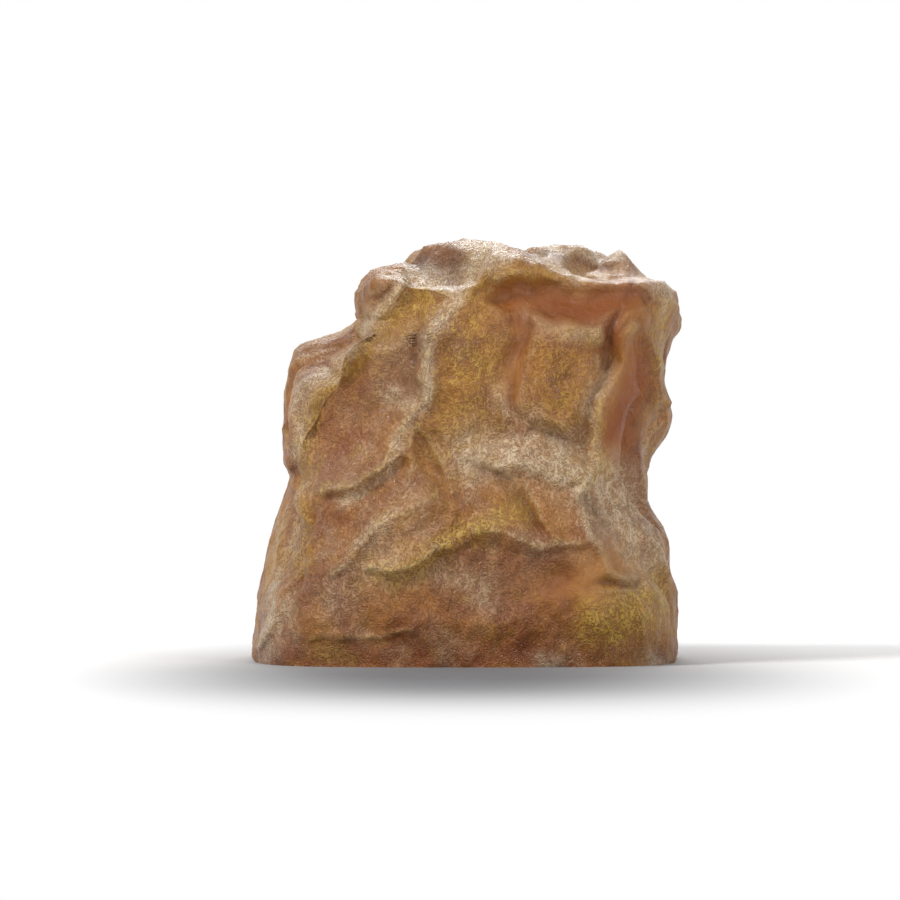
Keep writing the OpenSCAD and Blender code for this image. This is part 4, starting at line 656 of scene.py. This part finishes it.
def paint_rock(piece):
    """Brush strengths as two vectors a point: pale, ochre, the darker layer, and mauve, red, bare. Soft
    regions of each colour are mixed with what stands proud, which the brush catches, and what lies low,
    which is washed darker. The pale layer is also painted highlight on surfaces that face up, and the darker
    layer is paint washed into the cracks and also painted shade in hollows and on surfaces that face down."""
    mesh = piece.data
    count = len(mesh.vertices)
    points, normals = np.empty(count * 3), np.empty(count * 3)
    mesh.vertices.foreach_get("co", points)
    mesh.vertex_normals.foreach_get("vector", normals)
    points, normals = points.reshape(-1, 3) * 1000, normals.reshape(-1, 3)
    x, y, z = points.T
    face = np.maximum(rise(-y / place(z, FRONT_DEPTH), 0.3, 0.62), rise(z, 262, 268) * rise(-y, -32, -8))
    clear = rise(np.hypot(x, z - DRIVER_H), RECESS_R + 6, RECESS_R + 22)
    across = rise(np.abs(x) / 140, 0.6, 0.8) * (1 - face)
    behind = rise(y / 120, 0.5, 0.8) * clear
    above = rise(z, 262, 275) * (1 - face)
    edge, swell = np.zeros(count), np.zeros(count)
    for share, strokes, u, v in ((face, FRONT_STROKES, x, z), (behind, BACK_STROKES, x, z),
                                 (above, TOP_STROKES, x, y), (-across * (x < 0), LEFT_STROKES, y, z),
                                 (-across * (x > 0), RIGHT_STROKES, y, z)):
        seen = np.abs(share) > 0.01
        edge[seen] += share[seen] * proud(strokes, u[seen], v[seen], 5)
        swell[seen] += share[seen] * proud(strokes, u[seen], v[seen], 14)
    patch = hills(points * [1, 1, 0.6], 38, 11)
    spread = hills(points * [1, 1, 0.7], 24, 12)
    small = hills(points, 12, 13)
    up_facing_highlight = rise(normals[:, 2], 0.1, 0.8)
    rest = 1 - face
    catch = rise(edge + 0.5 * small, 0.2, 2.2)
    # Places that lie below their surroundings, which the darker layer fills as washed paint and as painted
    # shade.
    hollow_shade_and_wash = rise(-edge + 0.4 * small, 0.3, 2.6) + 0.25 * rise(-swell, 1, 5)
    bare = face * painted(BARE, x, z)
    # Painted highlight and dry brush: the pale layer lightens surfaces that face up, as light from above
    # falls on them, besides its runs and the proud ridges.
    pale = face * painted(PALE_AND_HIGHLIGHT, x, z) + 0.15 * up_facing_highlight + 0.25 * catch + 0.25 * rise(spread, 0, 0.7)
    pale *= 1 - 0.8 * bare
    ochre = (face * painted(OCHRE, x, z) + 0.45 * catch + rest * 0.6 * rise(patch, -0.2, 0.6)
             + 0.25 * rise(-small, 0, 0.7))
    ochre *= 1 - 0.6 * bare
    # Painted shade and washed paint: darker in the given runs, in cracks and hollows, and on the flanks and
    # back where the surface faces down.
    wash_and_shade = face * 0.6 * painted(SHADE_AND_WASH_RUNS, x, z) + 0.35 * hollow_shade_and_wash + rest * 0.3 * rise(-normals[:, 2], 0.1, 0.6)
    mauve = face * painted(MAUVE, x, z) + rest * 0.6 * rise(-spread, 0.1, 0.7) + 0.25 * rise(-patch, 0, 0.7)
    red = face * painted(RED, x, z) + rest * 0.5 * rise(-patch, 0.3, 0.8)
    seat = (y > 0) & (np.hypot(x, z - DRIVER_H) < RECESS_R + 3)
    for layer in (pale, ochre, mauve, red):
        layer[seat] *= 0.15
    for name, layers in (("brush_and_painted_light", (pale, ochre, wash_and_shade)), ("brush_b", (mauve, red, bare))):
        made = mesh.attributes.new(name, "FLOAT_VECTOR", "POINT")
        strengths = np.clip(np.stack(layers, axis=-1), 0, 1)
        made.data.foreach_set("vector", strengths.astype(np.float32).ravel())


def plug(tree, node, links):
    """Links or sets a node's sockets: {socket: another node's output, or a value}."""
    for socket, value in links.items():
        if isinstance(value, bpy.types.NodeSocket):
            tree.links.new(value, node.inputs[socket])
        else:
            node.inputs[socket].default_value = value


def add(tree, kind, links=None, out=0, **settings):
    """Adds a node with its settings and links, and gives one of its outputs."""
    made = tree.nodes.new("ShaderNode" + kind)
    for name, value in settings.items():
        setattr(made, name, value)
    plug(tree, made, links or {})
    return made.outputs[out]


def material(name, colour, sockets):
    """A material, its tree, its shader with one sRGB colour, which viewers without nodes show, and with the
    sockets given, and its Object coordinates."""
    made = bpy.data.materials.new(name)
    made.use_nodes = True
    tree = made.node_tree
    shader = tree.nodes["Principled BSDF"]
    plug(tree, shader, {"Base Color": (*linear(colour), 1), **sockets})
    return made, tree, shader, add(tree, "TexCoord", out="Object")


def grain(tree, at, size, stretch=(1, 1, 1), turn=(0, 0, 0), detail=2.0, distortion=0.0):
    """Random marks about `size` metres wide, drawn out where stretch is below 1."""
    placed = add(tree, "Mapping", {"Vector": at, "Scale": stretch, "Rotation": turn})
    return add(tree, "TexNoise", {"Vector": placed, "Scale": 1 / size, "Detail": detail,
                                  "Distortion": distortion})


def strands(tree, at, size, stretch, turn):
    """Thin curly threads: 1 where marks of `size` metres cross their middle value, 0 a little beside it."""
    marks = grain(tree, at, size, stretch, turn, detail=1.0, distortion=1.6)
    away = add(tree, "Math", {0: marks, 1: 0.5}, operation="SUBTRACT")
    beside = add(tree, "Math", {0: away}, operation="ABSOLUTE")
    return add(tree, "MapRange", {"Value": beside, "From Max": 0.1, "To Min": 1.0, "To Max": 0.0},
               interpolation_type="SMOOTHSTEP")


def brushed(tree, under, colour, share, most):
    """A colour laid over what is under it, by the product of its share and the most that it covers."""
    covered = add(tree, "Math", {0: share, 1: most}, operation="MULTIPLY")
    return add(tree, "Mix", {0: covered, 6: under, 7: (*colour, 1)}, out=2, data_type="RGBA")


def painted_resin(colours, hair):
    """Fibre-filled resin with a trowelled coat, brushed and dry-brushed with acrylics: satin, and covered in
    short curly brush hairs whose colour changes softly from place to place. The pale colour is also painted
    highlight, and the darker colour is painted shade in the hollows and between the hairs, besides the paint
    washed into them. A real hair's mark is about 0.3 mm wide. It is drawn coarser, at `hair`, so that it
    shows."""
    made, tree, shader, at = material("painted_resin", "#a3692c", {"Specular IOR Level": 0.4})
    node = functools.partial(add, tree)
    brush_and_painted_light = node("Attribute", out="Vector", attribute_name="brush_and_painted_light")
    brush_b = node("Attribute", out="Vector", attribute_name="brush_b")
    pale, ochre, wash_and_shade = node("SeparateXYZ", {0: brush_and_painted_light}).node.outputs
    mauve, red, bare = node("SeparateXYZ", {0: brush_b}).node.outputs
    broad = grain(tree, at, 0.03, detail=3.0)
    middle = grain(tree, at, 0.007, (1, 1, 0.6), distortion=0.6)
    fine = grain(tree, at, hair, (1, 1, 0.6), distortion=1.0)
    one = strands(tree, at, 4.2 * hair, (1, 1, 0.6), (0.1, 0.5, 0))
    two = strands(tree, at, 3.4 * hair, (0.6, 1, 1), (0.5, -0.8, 0.3))
    threads = node("Math", {0: one, 1: two}, operation="MAXIMUM")
    half = node("Math", {0: fine, 1: 0.5}, operation="MULTIPLY")
    hairs = node("Math", {0: threads, 1: 0.7, 2: half}, operation="MULTIPLY_ADD")
    raised = node("MapRange", {"Value": hairs, "From Min": 0.25, "From Max": 0.95},
                  interpolation_type="SMOOTHSTEP")
    sunk = node("Math", {0: 1.0, 1: raised}, operation="SUBTRACT")
    rough = node("Math", {0: bare, 1: -0.8, 2: 1.0}, operation="MULTIPLY_ADD")

    tone = node("MapRange", {"Value": broad, "From Min": 0.36, "From Max": 0.64},
                interpolation_type="SMOOTHSTEP")
    base = node("Mix", {0: tone, 6: (*colours.shade, 1), 7: (*colours.stone, 1)}, out=2, data_type="RGBA")
    base = brushed(tree, base, colours.mauve, mauve, 0.75)
    base = brushed(tree, base, colours.red, red, 0.8)
    sparse = node("MapRange", {"Value": middle, "From Min": 0.3, "From Max": 0.7},
                  interpolation_type="SMOOTHSTEP")
    caught = node("Math", {0: raised, 1: rough}, operation="MULTIPLY")
    dry = node("Math", {0: caught, 1: 0.8, 2: 0.25}, operation="MULTIPLY_ADD")
    dense = node("Math", {0: dry, 1: 0.6, 2: 0.35}, operation="MULTIPLY_ADD")
    # The pale colour goes on partly as painted highlight, where the pale layer marks surfaces lit from
    # above.
    for layer, colour, over, gain, least in ((ochre, colours.ochre, dry, 0.6, 0.55),
                                             (pale, colours.pale, dense, -0.6, 1.15)):
        patchy = node("Math", {0: sparse, 1: gain, 2: least}, operation="MULTIPLY_ADD")
        share = node("Math", {0: layer, 1: over}, operation="MULTIPLY")
        base = brushed(tree, base, colour, share, patchy)
    # Painted shade and washed paint: the darker colour goes where its layer says and, thinner, into the low
    # places between the hairs.
    low = node("Math", {0: sunk, 1: rough}, operation="MULTIPLY")
    thin = node("Math", {0: low, 1: 0.35}, operation="MULTIPLY")
    shade_and_wash_share = node("Math", {0: wash_and_shade, 1: thin}, operation="MAXIMUM")
    base = brushed(tree, base, colours.wash_and_shade, shade_and_wash_share, 0.75)

    gloss = node("MapRange", {"Value": raised, "To Min": 0.29, "To Max": 0.48})
    worn = node("Math", {0: pale, 1: -0.1, 2: gloss}, operation="MULTIPLY_ADD")
    dull = node("Math", {0: bare, 1: 0.14, 2: worn}, operation="MULTIPLY_ADD")
    under = node("Bump", {"Height": middle, "Distance": 0.002, "Strength": 0.8})
    figure = node("Math", {0: hairs, 1: rough}, operation="MULTIPLY")
    over = node("Bump", {"Height": figure, "Distance": 0.0008, "Strength": 0.9, "Normal": under})
    plug(tree, shader, {"Base Color": base, "Roughness": dull, "Normal": over})
    return made


def dressed(tree, shader, tone, edges, colours, relief, depth, strength):
    """Colour and bump of a surface: from the first sRGB colour to the second, as the tone pattern rises from
    its lower edge to its upper one, and a bump of the relief pattern, its depth in metres."""
    share = add(tree, "MapRange", {"Value": tone, "From Min": edges[0], "From Max": edges[1]},
                interpolation_type="SMOOTHSTEP")
    low, high = [(*linear(colour), 1) for colour in colours]
    base = add(tree, "Mix", {0: share, 6: low, 7: high}, out=2, data_type="RGBA")
    bump = add(tree, "Bump", {"Height": relief, "Distance": depth, "Strength": strength})
    plug(tree, shader, {"Base Color": base, "Normal": bump})


def moulded(name, low, high, size, depth, roughness):
    """Injection-moulded plastic: fine spark-eroded texture, so its gloss breaks into a soft sheen. The real
    texture is 0.1 to 0.3 mm. It is drawn coarser, at `size`, so that it shows."""
    made, tree, shader, at = material(name, low, {"Roughness": roughness})
    marks = grain(tree, at, size, detail=3.0)
    dressed(tree, shader, grain(tree, at, 0.012), (0.35, 0.7), (low, high), marks, depth, 0.6)
    return made


def plated(name, low, high, roughness):
    """Plated or blackened metal: faint cloudy tone and fine drawn marks, so highlights smear a little. The
    marks, some hundredths of a millimetre in real metal, are drawn at 0.6 mm, so that they show."""
    made, tree, shader, at = material(name, low, {"Metallic": 1.0})
    marks = grain(tree, at, 0.0006)
    dressed(tree, shader, grain(tree, at, 0.009), (0.3, 0.7), (low, high), marks, 0.00008, 0.5)
    sheen = add(tree, "MapRange", {"Value": marks, "From Min": 0.2, "From Max": 0.8,
                                   "To Min": roughness - 0.1, "To Max": roughness + 0.1},
                interpolation_type="SMOOTHSTEP")
    plug(tree, shader, {"Roughness": sheen})
    return made


def powder_coat(name, low, high, roughness=0.55):
    """Baked polyester powder: an orange-peel skin about 1.5 mm a dimple, satin."""
    made, tree, shader, at = material(name, low, {"Roughness": roughness})
    peel = grain(tree, at, 0.0015, detail=1.0)
    dressed(tree, shader, grain(tree, at, 0.02), (0.35, 0.65), (low, high), peel, 0.0001, 0.7)
    return made


def fibrous(name, low, high, size):
    """Felted paper pulp: short fibres in every direction, matte, with lighter flecks. A real fibre is about
    0.03 mm thick. It is drawn coarser, at `size`, so that it shows."""
    made, tree, shader, at = material(name, low, {"Roughness": 0.85})
    one = grain(tree, at, size, (1, 1, 0.2), (0.4, 0.9, 0), distortion=1.0)
    two = grain(tree, at, size, (0.2, 1, 1), (0, 0.4, 0.9), distortion=1.0)
    fibres = add(tree, "Math", {0: one, 1: two}, operation="MAXIMUM")
    dressed(tree, shader, fibres, (0.5, 0.75), (low, high), fibres, 0.00025, 0.8)
    return made


def woven(name, low, high, thread, roughness=0.75):
    """Impregnated cloth: two sets of threads cross, and the resin leaves a dull sheen. Real threads are 0.2
    to 0.4 mm apart. They are drawn coarser, at `thread`, so that they show."""
    made, tree, shader, at = material(name, low, {"Roughness": roughness, "Sheen Weight": 0.2})
    one, two = [add(tree, "TexWave", {"Vector": at, "Scale": 0.05 / thread, "Distortion": 0.4}, out="Fac",
                    bands_direction=way) for way in ("X", "Z")]
    weave = add(tree, "Math", {0: one, 1: two}, operation="MAXIMUM")
    dressed(tree, shader, weave, (0.3, 0.9), (low, high), weave, 0.00015, 0.8)
    return made


def wound(name, low, high, wire):
    """Enamelled copper wire, laid turn on turn: round ribs at the wire's own spacing under clear enamel."""
    made, tree, shader, at = material(name, low, {"Roughness": 0.28, "Metallic": 1.0, "Coat Weight": 0.5})
    turns = add(tree, "TexWave", {"Vector": at, "Scale": 0.05 / wire, "Distortion": 0.3}, out="Fac",
                bands_direction="Z")
    base = add(tree, "Mix", {0: turns, 6: (*linear(low), 1), 7: (*linear(high), 1)}, out=2,
               data_type="RGBA")
    bump = add(tree, "Bump", {"Height": turns, "Distance": wire / 3, "Strength": 0.8})
    plug(tree, shader, {"Base Color": base, "Normal": bump})
    return made


def sintered(name, low, high, size, roughness):
    """Fired or pressed powder, as ferrite and cement are: dull, with fine pits and pale dust in them."""
    made, tree, shader, at = material(name, low, {"Roughness": roughness})
    pits = add(tree, "TexVoronoi", {"Vector": at, "Scale": 1 / size})
    dust = grain(tree, at, size * 6, detail=4.0)
    dressed(tree, shader, dust, (0.35, 0.7), (low, high), pits, size / 8, 0.5)
    return made


def rubbery(name, low, high):
    """Butyl or EPDM rubber: a soft bloom over black, with faint mould lines."""
    made, tree, shader, at = material(name, low, {"Roughness": 0.62, "Sheen Weight": 0.25,
                                                  "Sheen Roughness": 0.5})
    bloom = grain(tree, at, 0.014, detail=4.0)
    dressed(tree, shader, bloom, (0.35, 0.75), (low, high), grain(tree, at, 0.0009), 0.00006, 0.6)
    return made


def laminate(name, low, high, thread):
    """Pressed phenolic or glass laminate: a woven figure under a thin glossy resin face. The threads are
    drawn at `thread`, about twice the real spacing, so that they show."""
    made, tree, shader, at = material(name, low, {"Roughness": 0.38, "Coat Weight": 0.2})
    one, two = [add(tree, "TexWave", {"Vector": at, "Scale": 0.05 / thread, "Distortion": 0.8}, out="Fac",
                    bands_direction=way) for way in ("X", "Y")]
    weave = add(tree, "Math", {0: one, 1: two}, operation="MULTIPLY")
    dressed(tree, shader, weave, (0.0, 0.8), (low, high), one, 0.00003, 0.4)
    return made


def background_share(tree):
    """1 for the rays that draw the background: from the camera, off gloss and through glass."""
    path = add(tree, "LightPath").node.outputs
    mirrored = add(tree, "Math", {0: path["Is Glossy Ray"], 1: path["Is Transmission Ray"]},
                   operation="MAXIMUM")
    return add(tree, "Math", {0: path["Is Camera Ray"], 1: mirrored}, operation="MAXIMUM")


def paper_floor_with_painted_shadow():
    """Seamless matt paper: it keeps the real shadow near the object, and a painted shadow greys its colour
    to #808082 in a soft oval round the object that reaches out in front of it. It is plain white where it is
    far away.
    """
    made, tree, shader, at = material("paper_with_painted_shadow", "#ffffff",
                                      {"Roughness": 0.9, "Specular IOR Level": 0.1})
    # Painted shadow: the paper's colour is grey just in front of the object and fades to white towards the
    # oval's edge.
    around = add(tree, "Mapping", {"Vector": at, "Location": (0.03, 0.34, 0), "Scale": (3.1, 1.15, 1)})
    near = add(tree, "VectorMath", {0: around}, out="Value", operation="LENGTH")
    share = add(tree, "MapRange", {"Value": near, "From Min": 0.1, "From Max": 1.15},
                interpolation_type="SMOOTHSTEP")
    tone = add(tree, "Mix", {0: share, 6: (*linear("#808082"), 1), 7: (*linear("#ffffff"), 1)}, out=2,
               data_type="RGBA")
    plug(tree, shader, {"Base Color": tone})
    away = add(tree, "VectorMath", {0: at}, out="Value", operation="LENGTH")
    far = add(tree, "MapRange", {"Value": away, "From Min": 0.45, "From Max": 1.1},
              interpolation_type="SMOOTHSTEP")
    white = add(tree, "Math", {0: background_share(tree), 1: far}, operation="MULTIPLY")
    glow = add(tree, "Emission", {"Strength": 1.0})
    both = add(tree, "MixShader", {0: white, 1: shader.outputs[0], 2: glow})
    plug(tree, tree.nodes["Material Output"], {"Surface": both})
    return made


def finishes():
    """The material of each CAD node, by the finish that it has in the record."""
    return {
        "rock_resin": moulded("bare_resin", "#7a5538", "#8a6444", 0.004, 0.0006, 0.7),
        "grille_paint": powder_coat("grille_powder_coat", "#2b2724", "#37322d"),
        "black_screw": plated("black_oxide_steel", "#232326", "#33333a", 0.38),
        "black_rubber": rubbery("epdm_rubber", "#161617", "#242425"),
        "basket_paint": powder_coat("basket_powder_coat", "#222325", "#2e3033", 0.48),
        "cone_pulp": fibrous("paper_pulp", "#2a2a2c", "#4a4a4c", 0.0007),
        "former_film": moulded("polyimide_film", "#8a4f14", "#b06f24", 0.003, 0.00002, 0.25),
        "copper": wound("enamelled_copper", "#7a3616", "#c8763c", 0.0006),
        "spider_cloth": woven("phenolic_cloth", "#9a6a24", "#d2a452", 0.0008),
        "zinc_steel": plated("zinc_plated_steel", "#a9adb0", "#c6c9ca", 0.34),
        "ferrite": sintered("ferrite", "#2a2a2c", "#3b3b3e", 0.0012, 0.7),
        "black_plastic": moulded("glass_filled_nylon", "#19191b", "#252528", 0.0008, 0.00008, 0.5),
        "dome_silk": woven("coated_silk", "#3a2c20", "#5c4832", 0.0005, 0.6),
        "tag_board": laminate("phenolic_paper", "#5a3518", "#8a5a30", 0.0009),
        "tag_brass": plated("tinned_brass", "#b39243", "#d4bb70", 0.3),
        "plate_plastic": moulded("polypropylene", "#262321", "#33302c", 0.0016, 0.0002, 0.58),
        "board_laminate": laminate("glass_laminate", "#1f4a2c", "#2f6a40", 0.0007),
        "film_yellow": moulded("polyester_tape", "#b5921c", "#d9b630", 0.004, 0.00003, 0.32),
        "film_red": moulded("epoxy_dip", "#7d1f16", "#9c2c20", 0.003, 0.0001, 0.3),
        "white_ceramic": sintered("cement", "#cfcabf", "#e6e2d8", 0.001, 0.8),
        "green_plastic": moulded("polyamide_green", "#1d6a3c", "#27834c", 0.001, 0.00004, 0.4),
        "red_sleeve": moulded("red_pvc", "#8e1713", "#b0231c", 0.002, 0.00004, 0.42),
        "black_sleeve": moulded("black_pvc", "#161617", "#222224", 0.002, 0.00004, 0.45),
        "grey_sleeve": moulded("grey_pvc", "#3c3d40", "#505256", 0.002, 0.00004, 0.45),
    }


def sector(name, outline, middle, half, steps):
    """Part of a ring on the driver's axes: a closed outline of [radius, height] is carried round from
    middle - half to middle + half, and both ends are closed."""
    r, h = outline.T
    n = len(r)
    a = np.linspace(middle - half, middle + half, steps + 1)
    heights = np.broadcast_to(h, (steps + 1, n))
    points = np.stack([np.outer(np.cos(a), r), np.outer(np.sin(a), r), heights], axis=-1)
    k, i = np.meshgrid(np.arange(steps), np.arange(n), indexing="ij")
    j = (i + 1) % n
    faces = np.stack([k * n + i, k * n + j, (k + 1) * n + j, (k + 1) * n + i], axis=-1).reshape(-1, 4)
    ends = [list(range(n))[::-1], list(range(steps * n, steps * n + n))]
    return new_piece(name, from_driver(points.reshape(-1, 3)), [*faces.tolist(), *ends])


def roll_outline():
    """Section of the surround: two half circles about one middle, with a flat lip on either side."""
    arc = np.linspace(math.pi, 0, 19)
    upper = np.stack([ROLL_MID + ROLL_TOP_R * np.cos(arc), LIP_LOW + ROLL_TOP_R * np.sin(arc)], axis=-1)
    lower = np.stack([ROLL_MID + ROLL_UNDER_R * np.cos(arc), LIP_LOW + ROLL_UNDER_R * np.sin(arc)], axis=-1)
    upper[:, 1] = np.maximum(upper[:, 1], LIP_HIGH)
    return np.concatenate([[[LIP_IN, LIP_LOW], [LIP_IN, LIP_HIGH]], upper,
                           [[LIP_OUT, LIP_HIGH], [LIP_OUT, LIP_LOW]], lower[::-1]])


def spider_outline():
    """Section of the spider: full waves of 1 less the cosine, out from the former to a flat lip."""
    t = np.linspace(0, 1, 81)
    wave_height = 1 - np.cos(2 * math.pi * SPIDER_WAVES * t)
    r = SPIDER_IN + (SPIDER_OUT - SPIDER_IN) * t
    lip = [[SPIDER_LIP, SPIDER_HIGH], [SPIDER_LIP, SPIDER_LOW]]
    upper, lower = np.c_[r, SPIDER_HIGH + wave_height], np.c_[r, SPIDER_LOW + wave_height]
    return np.concatenate([upper, lip, lower[::-1]])[::-1]


def ring_in_sectors(name, outline, node, skin):
    """A ring in sectors, each of which carries the outline round its own part of the circle, in place of the
    CAD node, which it hides."""
    for i in range(SECTORS):
        middle = (i + 0.5) * 2 * math.pi / SECTORS
        piece = sector(f"{name}_{i + 1}", outline, middle, math.pi / SECTORS, 6)
        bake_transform(piece)
        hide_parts(node)
        piece.data.materials.append(skin)


class SPEAKER_OT_rock(bpy.types.Operator):
    """Builds the painted rock over the driver's seat"""
    bl_idname = "speaker.rock"
    bl_label = "Rock"

    def execute(self, context):
        scene = context.scene
        rock = build_rock(scene.rock_sizes)
        pad = rod("pad", PAD_R, -SEAT_STEP - SEAT_T, RECESS_DEPTH - WALL + 1.2, CUT_SIDES)
        combine(rock, pad, "UNION")
        for radius, low, high in ((RECESS_R, 0, 2 * RECESS_DEPTH + RECESS_R / 2), (SEAT_R, -SEAT_STEP, 1),
                                  (THROAT_R, -SEAT_STEP - SEAT_T - WALL - 9, 1)):
            combine(rock, rod("cutter", radius, low, high, CUT_SIDES), "DIFFERENCE")
        for fasteners in ("grille_screws", "driver_screws", "base_screws"):
            combine(rock, copy_of(fasteners, "cutter"), "DIFFERENCE")
        rock.data.set_sharp_from_angle(angle=math.radians(50))
        paint_rock(rock)
        rock.data.materials.clear()
        rock.data.materials.append(painted_resin(scene.rock_colours, scene.rock_sizes.hair))
        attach(rock, "enclosure")
        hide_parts("rock_shell")
        return {"FINISHED"}


class SPEAKER_OT_suspension(bpy.types.Operator):
    """Builds the rubber surround and the cloth spider in sectors, and a copy of the tinsel leads"""
    bl_idname = "speaker.suspension"
    bl_label = "Surround and spider"

    def execute(self, context):
        rubber, cloth = bpy.data.materials["epdm_rubber"], bpy.data.materials["phenolic_cloth"]
        ring_in_sectors("surround_part", roll_outline(), "surround", rubber)
        ring_in_sectors("spider_part", spider_outline(), "spider", cloth)
        leads = copy_of("tinsel_leads", "tinsel_braids")
        leads.data.materials.append(bpy.data.materials["enamelled_copper"])
        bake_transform(leads)
        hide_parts("tinsel_leads")
        return {"FINISHED"}


class SPEAKER_OT_finishes(bpy.types.Operator):
    """Gives every CAD piece the material of its finish in the record"""
    bl_idname = "speaker.finishes"
    bl_label = "Finishes"

    def execute(self, context):
        made = finishes()
        for row in frame["record"]["subparts"]:
            slots = frame["nodes"][row["node"]].data.materials
            slots.clear()
            slots.append(made[row["material_slot"]])
        return {"FINISHED"}


class SPEAKER_OT_stage(bpy.types.Operator):
    """Sets the pale floor with its painted shadow, the soft lamps and the camera at the photograph's angle
    """
    bl_idname = "speaker.stage"
    bl_label = "Stage"

    def execute(self, context):
        scene = context.scene
        corners = [[-9000, -9000, 0], [9000, -9000, 0], [9000, 9000, 0], [-9000, 9000, 0]]
        floor = new_piece("floor", corners, [[0, 1, 2, 3]])
        floor.data.materials.append(paper_floor_with_painted_shadow())
        world = bpy.data.worlds.new("soft_room")
        scene.world = world
        world.use_nodes = True
        tree = world.node_tree
        strength = add(tree, "MapRange", {"Value": background_share(tree), "To Min": 0.3, "To Max": 1.0})
        plug(tree, tree.nodes["Background"], {"Color": (1, 1, 1, 1), "Strength": strength})
        for name, at, size, watts in LAMPS:
            lamp = bpy.data.lights.new(name, "AREA")
            lamp.energy = watts
            lamp.shape = "DISK"
            lamp.size = size
            holder = bpy.data.objects.new(name, lamp)
            holder.location = at
            holder.rotation_euler = (Vector((0, 0, 0.15)) - Vector(at)).to_track_quat("-Z", "Y").to_euler()
            scene.collection.objects.link(holder)
        lens = bpy.data.cameras.new("camera")
        lens.sensor_width = 36
        lens.lens = 36 * CAMERA_AWAY / FRAME_WIDTH
        lens.clip_end = 60
        camera = bpy.data.objects.new("camera", lens)
        back = Vector((0, -math.cos(CAMERA_RISE), math.sin(CAMERA_RISE)))
        camera.location = Vector(CAMERA_TARGET) + back * CAMERA_AWAY
        camera.rotation_euler = (-back).to_track_quat("-Z", "Y").to_euler()
        scene.collection.objects.link(camera)
        scene.camera = camera
        scene.view_settings.view_transform = "Standard"
        return {"FINISHED"}


class VIEW3D_PT_speaker(bpy.types.Panel):
    """Sizes, colours and steps of the rock speaker"""
    bl_label = "Garden rock speaker"
    bl_space_type = "VIEW_3D"
    bl_region_type = "UI"
    bl_category = "Speaker"

    def draw(self, context):
        layout = self.layout
        for group in (context.scene.rock_sizes, context.scene.rock_colours):
            box = layout.box()
            for name in group.bl_rna.properties.keys():
                if name not in ("rna_type", "name"):
                    box.prop(group, name)
        for step in STEPS:
            layout.operator(step.bl_idname)


STEPS = (SPEAKER_OT_stage, SPEAKER_OT_finishes, SPEAKER_OT_rock, SPEAKER_OT_suspension)
CLASSES = (RockSizes, RockColours, *STEPS, VIEW3D_PT_speaker)


def register():
    """Makes the settings, the steps and the panel known to Blender."""
    for kind in CLASSES:
        bpy.utils.register_class(kind)
    bpy.types.Scene.rock_sizes = bpy.props.PointerProperty(type=RockSizes)
    bpy.types.Scene.rock_colours = bpy.props.PointerProperty(type=RockColours)


def unregister():
    """Takes them away again."""
    del bpy.types.Scene.rock_colours
    del bpy.types.Scene.rock_sizes
    for kind in reversed(CLASSES):
        bpy.utils.unregister_class(kind)


def main():
    register()
    bpy.ops.speaker.stage()
    bpy.ops.speaker.finishes()
    bpy.ops.speaker.rock()
    bpy.ops.speaker.suspension()


if __name__ == "__main__":
    main()
